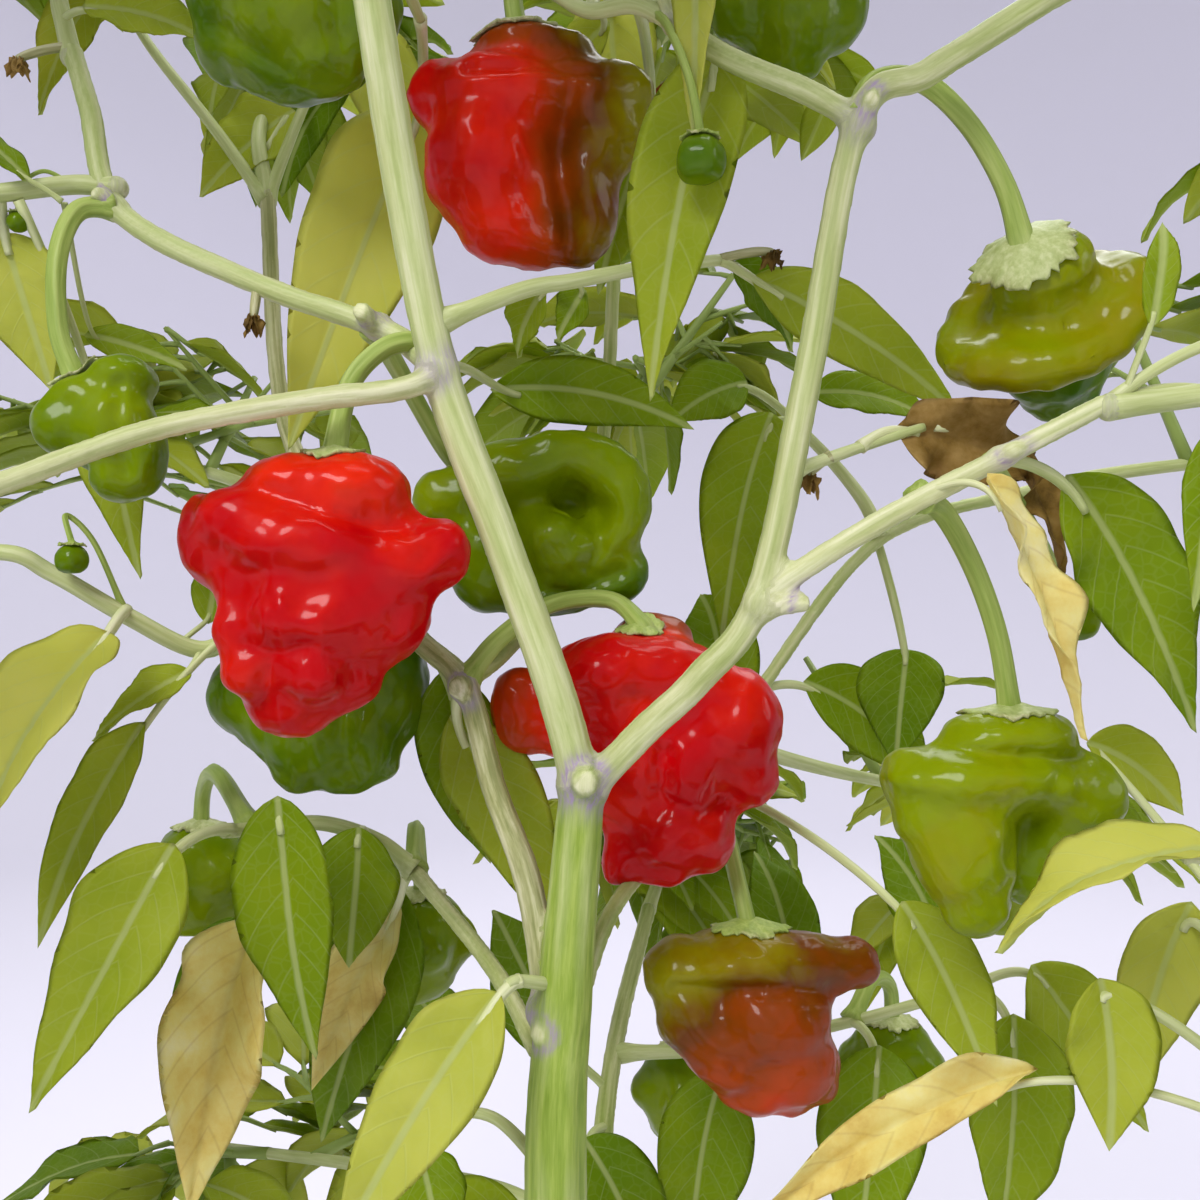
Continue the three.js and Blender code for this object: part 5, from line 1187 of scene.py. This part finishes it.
def twig(points, start, end, swelling=0.5, sides=14):
    """One twig: a tapering tube on a smooth line, swollen where it leaves its limb."""
    share = np.linspace(0, 1, 8 * len(points))
    swell = 1 + swelling * np.exp(-(share / 0.06) ** 2)
    part = tubes(smooth_line(points, share)[None], ((start + (end - start) * share) * swell)[None], sides)
    part["marks"]["stem_tone"] = np.tile([0.6, 0.0, 0.0], (len(part["points"]), 1))
    return part


green_parts, dry_parts, stem_pieces = [], [], []
for name, leaves in NEAR_LEAVES.items():
    fresh, dead, stems = near_leaf_parts(leaves)
    green_parts += [fresh] if fresh else []
    dry_parts += [dead] if dead else []
    stem_pieces.append(stems)
for name, (points, radius) in SPRAY_STEMS.items():
    stem_pieces.append(twig(points, radius, radius * 0.7))
add_piece("near_leaves", green_parts, leaf_materials, list(SPRAY_STEMS))
add_piece("dry_leaves", dry_parts, dry_materials, ["leaf_dry_right"])
add_piece("near_twigs", stem_pieces, [stem_material], [])


# Crown. Its masses of leaves grow on from the stems by one seeded rule: four twigs fan out near the end of
# each mass's stem, three leaves stand on each, and then five finer twigs with four smaller leaves.
# A twig or leaf that would leave its mass's space, touch a limb or fill the photographed view stays away.
# A mass is its stem, its middle, the reach of its space, and whether a pepper may hang in it.
MASSES = {
    "mass_top_left": ([[-43, -16, 517], [-52, -19, 534], [-72, -22, 550]], [-98, -28, 566], 78, 1),
    "mass_top_front": ([[-41, -16, 500], [-36, -28, 520], [-28, -48, 548]], [-20, -78, 566], 66, 0),
    "mass_top_middle": ([[8, 0, 528], [8, 6, 548], [6, 16, 566]], [5, 32, 590], 74, 0),
    "mass_top_right": ([[118, -5, 528], [122, -8, 545]], [128, -14, 572], 78, 0),
    "mass_upper_left": ([[-107, 28, 490], [-110, 30, 500], [-116, 34, 516]], [-150, 62, 552], 78, 1),
    "mass_upper_back_left": ([[-81, 77, 478], [-84, 84, 500]], [-82, 140, 545], 74, 0),
    "mass_upper_back": ([[5, 85, 498], [10, 98, 520]], [24, 142, 552], 74, 1),
    "mass_upper_back_right": ([[105, -12, 511], [114, 8, 514], [138, 30, 513]], [180, 62, 510], 76, 0),
    "mass_left": ([[-95, 21, 461], [-104, 22, 462], [-115, 15, 458], [-128, 13, 456], [-158, 14, 462]],
                  [-200, 14, 472], 74, 1),
    "mass_left_front": ([[-124, -35, 385], [-138, -42, 388]], [-184, -72, 402], 72, 1),
    "mass_left_low": ([[-38, 25, 374], [-52, 27, 384], [-70, 28, 376], [-80, 26, 370], [-92, 18, 377],
                       [-104, 13, 385], [-114, 10, 389], [-150, 20, 385]], [-196, 34, 376], 74, 0),
    "mass_right_front": ([[82, -22, 411], [97, -22, 413], [122, -27, 416], [145, -38, 424]],
                         [190, -60, 440], 78, 0),
    "mass_right_rear": ([[109, 86, 407], [130, 88, 412]], [180, 92, 418], 80, 1),
    "mass_right_low": ([[104, -24, 287], [109, -16, 300], [116, -12, 315]], [168, -34, 322], 74, 0),
    "mass_low_left": ([[-109, -45, 280], [-122, -48, 284]], [-170, -52, 296], 74, 1),
    "mass_low_front_left": ([[-68, -32, 262], [-76, -52, 262], [-80, -74, 258]], [-88, -114, 250], 66, 0),
    "mass_low_front_right": ([[60, -26, 249], [72, -48, 256], [82, -74, 256]], [98, -118, 250], 66, 1),
    "mass_low_back": ([[14, 130, 291], [18, 144, 300]], [24, 190, 318], 80, 0),
    "mass_back_left": ([[-60, 48, 398], [-78, 70, 404], [-98, 96, 412]], [-142, 138, 424], 80, 1),
    "mass_back_right_low": ([[30, 69, 347], [48, 84, 340], [72, 108, 332]], [118, 158, 318], 78, 1),
    "mass_back_left_low": ([[-2, 60, 233], [-24, 76, 237], [-58, 94, 234]], [-104, 122, 226], 76, 0),
    "mass_back": ([[1, 75, 424], [8, 96, 432], [12, 124, 438]], [22, 192, 446], 76, 0),
}
# Openings to the sky in the photographed view: middle across and up, and radius, as slopes from the eye
OPEN_SKY = np.array([
    [-0.40, 0.40, 0.07], [-0.32, 0.25, 0.045], [-0.45, 0.03, 0.06], [-0.37, 0.04, 0.04], [-0.10, 0.25, 0.03],
    [0.17, 0.31, 0.05], [0.25, 0.33, 0.07], [0.42, 0.42, 0.10], [0.30, 0.47, 0.06], [0.44, 0.12, 0.055],
    [0.49, 0.02, 0.05], [0.38, -0.08, 0.04], [-0.45, -0.33, 0.11], [-0.40, -0.19, 0.05], [0.10, 0.12, 0.03],
    [0.23, -0.21, 0.025]])
VIEW_SLOPE = 0.52
CLEAR_DEPTH = 300
SEEN_SLOPE = 0.56
CROWN_MIDDLE = [0, 40, 400]
GOLDEN_ANGLE = 2.39996
MAIN_TWIGS = 4
FINE_TWIGS = 5
LEAF_TRIES = 6
CELL_MARGIN = 1.2
LIMB_MARGIN = 1.5
BEND_ROOM = 0.8
PETIOLE_ROOM = 1.1
MASS_STEM_RADIUS = 2.6
TWIG_RADIUS = 1.8
FINE_TWIG_RADIUS = 1.0
LEAF_LENGTH = 66
HANGING_RADIUS = 17
FRUIT_ROOM = {"fruit_red_left": 28, "fruit_red_middle": 30, "fruit_red_top": 29, "fruit_green_top_left": 20,
              "fruit_green_top_right": 15.5, "fruit_olive_right": 21, "fruit_green_middle": 22,
              "fruit_green_lower_left": 18, "fruit_lime_right": 22.5, "fruit_brown_middle": 29,
              "fruit_green_small_left": 11, "fruit_green_young_right": 5.5}
PLANT_BOX = np.array(cad_box) / MM
rods = []


def add_rods(points, radii, owner=""):
    """Straight rods between the points of a line. The foliage keeps clear of them, save its own stem."""
    rods.extend(zip(points, points[1:], radii, [owner] * len(points)))


for points, start, end, *_ in LIMBS.values():
    add_rods(points, np.linspace(start, end, len(points)) + BEND_ROOM)
for name, fruit in FRUITS.items():
    add_rods(fruit["stalk"], [STALK_RADIUS + BEND_ROOM] * len(fruit["stalk"]))
    add_rods([fruit["stalk"][-1], fruit["tip"]], [FRUIT_ROOM[name]])
for leaves in NEAR_LEAVES.values():
    for root, base, tip, width, *_ in leaves:
        add_rods([root, base, tip], [PETIOLE_ROOM, width / 2])
for points, radius in SPRAY_STEMS.values():
    add_rods(points, [radius + BEND_ROOM] * len(points))
for name, (stem, *_) in MASSES.items():
    add_rods(stem, [MASS_STEM_RADIUS + BEND_ROOM] * len(stem), name)
rod_starts, rod_ends = (np.array([rod[k] for rod in rods], float) for k in (0, 1))
rod_radii = np.array([rod[2] for rod in rods])
rod_owners = np.array([rod[3] for rod in rods])


def chance(*numbers):
    """A steady number from 0 to 1 for four whole numbers: the fraction of a large sine of their sum, each
    number first times a constant of its own."""
    mixed = math.sin(sum(n * k for n, k in zip(numbers, (127.1, 311.7, 74.7, 19.19)))) * 43758.5453
    return mixed - math.floor(mixed)


def line_distances(a, b, starts, ends):
    """The shortest way between one straight line and each of many: where the two nearest points lie comes
    from the lines' dot products, kept within both lines."""
    u, v, w = b - a, ends - starts, a - starts
    uu, uv, vv, uw, vw = u @ u, v @ u, (v * v).sum(1), w @ u, (v * w).sum(1)
    square = uu * vv - uv * uv
    s = np.where(square > 1e-9, np.clip((uv * vw - vv * uw) / np.maximum(square, 1e-9), 0, 1), 0)
    t = np.clip((uv * s + vw) / np.maximum(vv, 1e-9), 0, 1)
    s = np.clip((uv * t - uw) / max(uu, 1e-9), 0, 1)
    return np.linalg.norm(w + s[:, None] * u - t[:, None] * v, axis=1)


def cross_blades(starts, ends, outlines):
    """Whether any straight line cuts any blade. A blade is two triangles between its base, right corner,
    tip and left corner. A cut's place in the triangle and on the line comes from three triple products."""
    corners = np.asarray(outlines)[:, [[0, 1, 3], [3, 1, 2]]].reshape(-1, 3, 3)
    first = corners[None, :, 0]
    right, left = corners[None, :, 1] - first, corners[None, :, 2] - first
    ahead = (ends - starts)[:, None]
    from_first = starts[:, None] - first
    normal, turned = np.cross(ahead, left), np.cross(from_first, right)
    size = (right * normal).sum(-1)
    size = np.where(np.abs(size) > 1e-9, size, np.inf)
    u, v = (from_first * normal).sum(-1) / size, (ahead * turned).sum(-1) / size
    t = (left * turned).sum(-1) / size
    return bool(((u > 0) & (v > 0) & (u + v < 1) & (t > 0) & (t < 1)).any())


def in_own_space(owner, spots):
    """Whether all spots are within the plant's box and the reach of a mass, and nearer to its middle than
    to any other's."""
    own = np.array(MASSES[owner][1], float)
    others = np.array([mass[1] for name, mass in MASSES.items() if name != owner], float)
    to_own = ((spots - own) ** 2).sum(1)
    to_others = ((spots[:, None] - others) ** 2).sum(-1)
    lead = (to_others - to_own[:, None]) / (2 * np.linalg.norm(others - own, axis=1))
    inside = (spots > PLANT_BOX[0] - 5).all() and (spots < PLANT_BOX[1] + 5).all()
    return inside and to_own.max() <= MASSES[owner][2] ** 2 and lead.min() >= CELL_MARGIN


def view_stays_open(spots):
    """Whether no spot is close in front of the eye or in an opening to the sky."""
    depth = spots[:, 1] - EYE[1]
    slope = (spots - EYE)[:, [0, 2]] / np.maximum(depth, 1e-9)[:, None]
    outside = (depth <= 0) | (np.abs(slope).max(1) > VIEW_SLOPE)
    filled = (np.linalg.norm(slope[:, None] - OPEN_SKY[:, :2], axis=-1) <= OPEN_SKY[:, 2]).any(1)
    return bool((outside | ((depth >= CLEAR_DEPTH) & ~filled)).all())


def is_free(owner, a, b, half_width, corners):
    """Whether a straight piece of this half width can grow from a to b."""
    if not in_own_space(owner, corners) or not view_stays_open(np.vstack([corners, (a + b) / 2])):
        return False
    others = rod_owners != owner
    room = line_distances(a, b, rod_starts[others], rod_ends[others])
    return bool((room > rod_radii[others] + half_width + LIMB_MARGIN).all())


def grow_leaf(owner, grown, root, way, place, attempt, size):
    """A leaf that leaves its twig sideways and droops, if its own space, the view and its fellows allow."""
    spin = chance(*place, 2) * 2 * math.pi + attempt * 2.4
    droop = -0.25 - 0.5 * chance(*place, 3)
    ahead = unit(way * 0.6 + np.array([math.cos(spin) * 0.8, math.sin(spin) * 0.8, droop]))
    length = size * LEAF_LENGTH * (0.75 + 0.4 * chance(*place, 4)) * 0.93 ** attempt
    half_width = length * 0.2
    turned = np.array([40 * (chance(*place, 5) - 0.5)])
    towards = np.array([[way[0] * 0.5, way[1] * 0.5, 1]])
    facing = facing_of(root[None], (root + ahead)[None], turned, towards)[0]
    across = np.cross(ahead, facing) * half_width
    tip = root + ahead * length
    widest = root + ahead * length * 0.4
    outline = np.array([root + ahead * 5, widest + across, tip, widest - across])
    if not is_free(owner, outline[0], tip, half_width * 0.7, outline[1:]):
        return False
    for top, end in grown["fruits"]:
        if line_distances(root, tip, top[None], end[None])[0] < HANGING_RADIUS + 1:
            return False
    twigs = np.array(grown["twigs"])
    if cross_blades(twigs[:, 0], twigs[:, 1], [outline]):
        return False
    if grown["outlines"]:
        others = np.array(grown["outlines"])
        edges = others.reshape(-1, 3), np.roll(others, -1, axis=1).reshape(-1, 3)
        if cross_blades(*edges, [outline]) or cross_blades(outline, np.roll(outline, -1, axis=0), others):
            return False
    grown["outlines"].append(outline)
    luck, spray = chance(*place, 6), chance(place[0], place[1], 0, 7)
    grown["leaves"].append((root, tip, half_width, facing, luck, spray))
    return True


def grow_twig(owner, grown, start, way, length, radius, seed, number, leaves, size):
    """A twig and its leaves, each of which tries again further round while it has no room."""
    end = start + way * length
    if not is_free(owner, start, end, radius, end[None]):
        return False
    if grown["outlines"] and cross_blades(start[None], end[None], np.array(grown["outlines"])):
        return False
    grown["twigs"].append((start, end))
    grown["radii"].append(radius)
    for j in range(leaves):
        root = start + (end - start) * (0.44 + 0.54 * j / (leaves - 1))
        for k in range(LEAF_TRIES):
            if grow_leaf(owner, grown, root, way, (seed, number, j), k, size):
                break
    return True


def grow_mass(owner, seed):
    """All twigs, leaves and the hanging pepper of one mass."""
    stem, middle, reach, has_fruit = MASSES[owner]
    line = smooth_line(stem + [middle], np.linspace(0, 1, 101))
    middle = np.array(middle, float)
    outward = unit(middle - CROWN_MIDDLE)
    grown = {"twigs": [(line[60], line[100])], "radii": [TWIG_RADIUS], "leaves": [], "outlines": [],
             "fruits": []}
    top = middle + np.array([outward[0] * 8, outward[1] * 8, -16])
    tip = top - np.array([0, 0, 30])
    if has_fruit and is_free(owner, top, tip, HANGING_RADIUS, np.array([top, tip])):
        grown["fruits"].append((top, tip))
    main = []
    for i in range(MAIN_TWIGS):
        start = smooth_line(stem + [list(middle)], np.array([0.62 + 0.38 * (i + 1) / MAIN_TWIGS]))[0]
        height = 1 - 2 * (i + 0.5) / MAIN_TWIGS
        flat, turn = math.sqrt(1 - height * height), i * GOLDEN_ANGLE + seed * 1.7
        way = np.array([math.cos(turn) * flat, math.sin(turn) * flat, height * 0.8 + 0.25])
        way = unit(way + 0.3 * outward)
        length = reach * (0.4 + 0.2 * chance(seed, i, 0, 1))
        if grow_twig(owner, grown, start, way, length, TWIG_RADIUS, seed, i, 3, 1.0):
            main.append((start, way, length))
    for i, (start, way, length) in enumerate(main):
        for m in range(FINE_TWIGS):
            number = 10 + FINE_TWIGS * i + m
            turn = chance(seed, number, 0, 8) * 6.28 + m * GOLDEN_ANGLE
            aside = np.array([math.cos(turn), math.sin(turn), 0.5 * chance(seed, number, 1, 8) - 0.1])
            finer = unit(0.55 * way + 0.75 * aside)
            grow_twig(owner, grown, start + way * length * (0.3 + 0.65 * m / (FINE_TWIGS - 1)), finer,
                      reach * (0.22 + 0.14 * chance(seed, number, 2, 8)), FINE_TWIG_RADIUS, seed, number, 4,
                      0.8)
    return grown


# Radii of the finished stems of the masses at their start and end, within the room kept for them
CROWN_STEM_RADII = (2.05, 1.4)
crown = {name: grow_mass(name, number + 1) for number, name in enumerate(MASSES)}

# Plain leaf colours for the crown, dealt out by spray, with a paler rib
TINTS = ["4d7d1f", "5f8f2b", "739c33", "8aaa3b", "a9b948", "c6c766"]
tint_materials = []
for number, code in enumerate(TINTS + ["b9c882"]):
    tint, _, _ = new_material("leaf tint %d" % number, base_color=linear(code), roughness=0.5,
                              specular_ior_level=0.35)
    tint_materials.append(tint)
RIB_TINT = len(TINTS)
COARSE_PLACES = np.array([-1, -0.55, -0.07, 0.07, 0.55, 1])
COARSE_ROWS = 8
SEEN_PLACES = np.linspace(-1, 1, 9)
SEEN_ROWS = 14
SEEN_RELIEF = 0.3
CROWN_THICKNESS = 0.5
PETIOLE_SHARE = 0.16
CROWN_PETIOLE_RADIUS = 0.75


def crown_leaves(records, places, rows, relief, seed):
    """Blades for grown leaves. The first part of a leaf's length is its petiole."""
    dice = np.random.default_rng(seed)
    count = len(records)
    root, tip, half_width, facing, luck, spray = (np.array([row[k] for row in records]) for k in range(6))
    base = root + (tip - root) * PETIOLE_SHARE
    looks = np.stack([dice.uniform(0.12, 0.5, count), dice.uniform(0.04, 0.15, count),
                      dice.uniform(-0.1, 0.6, count), dice.uniform(0, 6.28, count), 0.3 + 0.5 * spray,
                      dice.uniform(-0.8, 0.8, count)], axis=-1)
    part = blades(base, tip, facing, half_width, looks, places, rows, CROWN_THICKNESS, relief)
    stems = petioles(root, base, tip, np.full(count, CROWN_PETIOLE_RADIUS), 5, 4)
    return part, stems, np.clip((spray * 0.8 + luck * 0.25) * len(TINTS), 0, len(TINTS) - 1).astype(int)


twig_material, tree, shader = new_material("twig", base_color=linear("93a658"), roughness=0.5,
                                           specular_ior_level=0.4)
grain = noise(tree, add_node(tree, "TexCoord").outputs["Object"], 500.0, 2.0)
raise_relief(tree, shader, grain, 0.3, 0.0004)

# Leaves that the camera sees are finer than the others
seen, hidden = [], []
for grown in crown.values():
    for record in grown["leaves"]:
        middle = (record[0] + record[1]) / 2 - EYE
        in_view = middle[1] > 0 and np.abs(middle[[0, 2]]).max() < SEEN_SLOPE * middle[1]
        (seen if in_view else hidden).append(record)
# Twigs and leaves, listed one by one, where the photographed side is fuller than the rule makes it
LATER_TWIGS = {
    "right": ([[4, 92, 264], [30, 80, 270], [60, 70, 280], [88, 60, 292]], 1.9),
    "upper_left": ([[-81, 77, 477], [-94, 78, 495], [-109, 78, 514], [-118, 82, 528]], 1.7),
    "upper_inner": ([[-81, 77, 477], [-77, 78, 489], [-72, 80, 503], [-67, 86, 518]], 1.6),
}
LATER_LEAVES = [
    ([82, -22, 412], [103, -24, 424], [130, -26, 405], 16, 0, 0.6),
    ([82, -22, 412], [101, -20, 415], [121, -16, 388], 14, 20, 0.7),
    ([-2, 7, 489], [2, 46, 512], [6, 50, 478], 20, 0, 0.85),
    ([-118, 82, 528], [-122, 84, 536], [-140, 82, 500], 18, 0, 0.7),
    ([-67, 86, 518], [-62, 88, 524], [-46, 88, 484], 20, 0, 0.8),
    ([86, 61, 291], [92, 52, 288], [86, 44, 238], 26, 0, 0.5),
    ([60, 70, 280], [64, 60, 278], [56, 48, 230], 25, 10, 0.42),
    ([87, 60, 292], [98, 58, 297], [121, 50, 262], 22, -10, 0.62),
    ([30, 80, 270], [29, 70, 268], [20, 56, 224], 24, 0, 0.35),
    ([75, 64, 286], [80, 60, 298], [64, 60, 326], 20, 0, 0.3),
    ([44, 75, 275], [48, 78, 284], [40, 96, 316], 18, 0, 0.25),
    ([1, 76, 252], [-4, 66, 254], [14, 50, 218], 22, 0, 0.3),
    ([-41, 43, 321], [-44, 52, 316], [-64, 54, 256], 26, 0, 0.28),
    ([52, 95, 424], [54, 92, 433], [85, 82, 423], 13, 0, 0.4),
    ([-38, 25, 374], [-32, 34, 366], [-24, 52, 318], 20, 0, 0.4),
    ([2, 84, 258], [-8, 84, 266], [-26, 74, 306], 22, 0, 0.32),
    ([-2, 62, 234], [-16, 52, 240], [-52, 30, 246], 20, 20, 0.5),
    ([-104, 18, 457], [-107, 34, 435], [-86, 36, 428], 8, 0, 0.5),
    ([114, -12, 316], [92, 12, 353], [111, 12, 339], 13, 0, 0.75),
    ([23, 65, 338], [30, 72, 350], [26, 96, 384], 20, 0, 0.4),
    ([38, 73, 358], [50, 80, 360], [84, 82, 332], 20, 0, 0.35),
]
seen_part, seen_stems, _ = crown_leaves(seen, SEEN_PLACES, SEEN_ROWS, SEEN_RELIEF, 1)
later_part, _, later_stems = near_leaf_parts(LATER_LEAVES)
add_piece("view_leaves", [seen_part, later_part], leaf_materials, [])
leaf_stems = [seen_stems]
half = len(hidden) // 2
for number, some in enumerate((hidden[:half], hidden[half:])):
    part, stems, tints = crown_leaves(some, COARSE_PLACES, COARSE_ROWS, 0, 2 + number)
    leaf_stems.append(stems)
    columns = 2 * len(COARSE_PLACES) - 2
    quad_shades = np.repeat(tints, (COARSE_ROWS - 1) * columns).reshape(len(some), -1, columns)
    quad_shades[:, :, [2, 7]] = RIB_TINT
    fan_shades = np.repeat(tints, 2 * columns)
    part["shade"] = (quad_shades.ravel(), fan_shades)
    names = list(MASSES)[number::2]
    add_piece("crown_leaves_%d" % (number + 1), [part], tint_materials, names)

twig_parts = list(leaf_stems)
stem_parts_crown = [later_stems]
stem_parts_crown += [twig(points, radius, radius * 0.6) for points, radius in LATER_TWIGS.values()]
for name, grown in crown.items():
    stem, middle = MASSES[name][:2]
    stem_parts_crown.append(twig(stem + [middle], *CROWN_STEM_RADII, 0.1))
    knot = ball(stem[0], 1.12 * CROWN_STEM_RADII[0])
    knot["marks"] = {"stem_place": knot["points"] - stem[0],
                     "stem_tone": np.tile([0.6, 0.0, 0.3], (len(knot["points"]), 1))}
    stem_parts_crown.append(knot)
    starts, ends = (np.array([row[k] for row in grown["twigs"][1:]]) for k in (0, 1))
    if len(starts):
        share = np.linspace(0, 1, 6)[None, :, None]
        lines = starts[:, None] + (ends - starts)[:, None] * share
        radii = np.array(grown["radii"][1:])[:, None] * (1 - 0.45 * share[..., 0])
        twig_parts.append(tubes(lines, radii, 6))
add_piece("crown_stems", stem_parts_crown, [stem_material], [])
add_piece("crown_twigs", twig_parts, [twig_material], [])


# Hanging peppers. In the crown's masses and behind the stems hang more peppers of the same kind, smaller
# and plainer, each on a stalk of its own. Their ages take turns from one mass to the next.
# A unit of a common pepper's lobes in millimetres, and how far below its stalk's end its middle hangs
COMMON_SIZE = 0.168
COMMON_DROP = 13
HANGING_VOXEL = 0.0012
# The ripeness of each age's cap and body
RIPENESSES = {"ripe": (1, 0.96), "green": (0.1, 0.14), "turning": (0.6, 0.85), "pale": (0.3, 0.22)}
AGES = list(RIPENESSES)


def common_pepper(stalk_points, spin, ripe):
    """A smaller pepper of the same kind, upright, with four lobes in its brim and three in its body."""
    turns = [math.radians(spin + 90 * k) for k in range(4)]
    lobes = [[0, 45, 0, 60, 36, 58, 0, ripe[0]], [0, -25, 0, 56, 58, 54, 0, ripe[1]]]
    lobes += [[46 * math.cos(a), 8, 46 * math.sin(a), 40, 36, 40, 0, ripe[k % 2]]
              for k, a in enumerate(turns)]
    lobes += [[30 * math.cos(a + 0.7), -48, 30 * math.sin(a + 0.7), 32, 34, 32, 0, ripe[1]]
              for a in turns[:3]]
    top = stalk_points[-1]
    scale = (top[1] - EYE[1]) / PICTURE
    return {"stalk": [list(p) for p in stalk_points], "radius": 14, "calyx": 0.45, "folds": [],
            "at": picture_place([top[0], top[1], top[2] - COMMON_DROP]),
            "lobes": [[value * COMMON_SIZE / scale for value in lobe[:6]] + lobe[6:] for lobe in lobes]}


hanging, hanging_stems = {age: [] for age in AGES}, []
# Green peppers behind, on stalks of their own
BEHIND = [[[60, 70, 280], [66, 76, 288], [72, 83, 284], [73, 85, 275]],
          [[-40, 43, 322], [-42, 58, 328], [-44, 76, 319], [-44, 80, 308]],
          [[-70, 26, 334], [-84, 48, 342], [-94, 70, 335], [-96, 74, 326]],
          [[30, 80, 270], [26, 92, 276], [22, 102, 270], [22, 104, 262]]]
for number, stalk_points in enumerate(BEHIND):
    fruit = common_pepper([np.array(p, float) for p in stalk_points], 25 + 50 * number, (0.12, 0.2))
    hanging["green"].append(pepper(fruit, 300 + number, HANGING_VOXEL))
    hanging_stems += [stalk(fruit), calyx(fruit, 120 + number, hanging["green"][-1]["points"])]
for number, (name, grown) in enumerate(crown.items()):
    for top, tip in grown["fruits"]:
        middle = np.array(MASSES[name][1], float)
        stalk_points = [middle, middle + (top - middle) * [0.7, 0.7, 0.15],
                        middle + (top - middle) * [1, 1, 0.55], top]
        age = AGES[number % len(AGES)]
        fruit = common_pepper(stalk_points, 40 * number, RIPENESSES[age])
        hanging[age].append(pepper(fruit, 200 + number, HANGING_VOXEL))
        hanging_stems += [stalk(fruit), calyx(fruit, 90 + number, hanging[age][-1]["points"])]
for age, peppers in hanging.items():
    if peppers:
        add_piece("hanging_%s_peppers" % age, peppers, [skin_material], [])
add_piece("hanging_stalks", hanging_stems, [stem_material], [])

# Size of the dressed plant, beside the imported model's in cad_box
low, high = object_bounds()
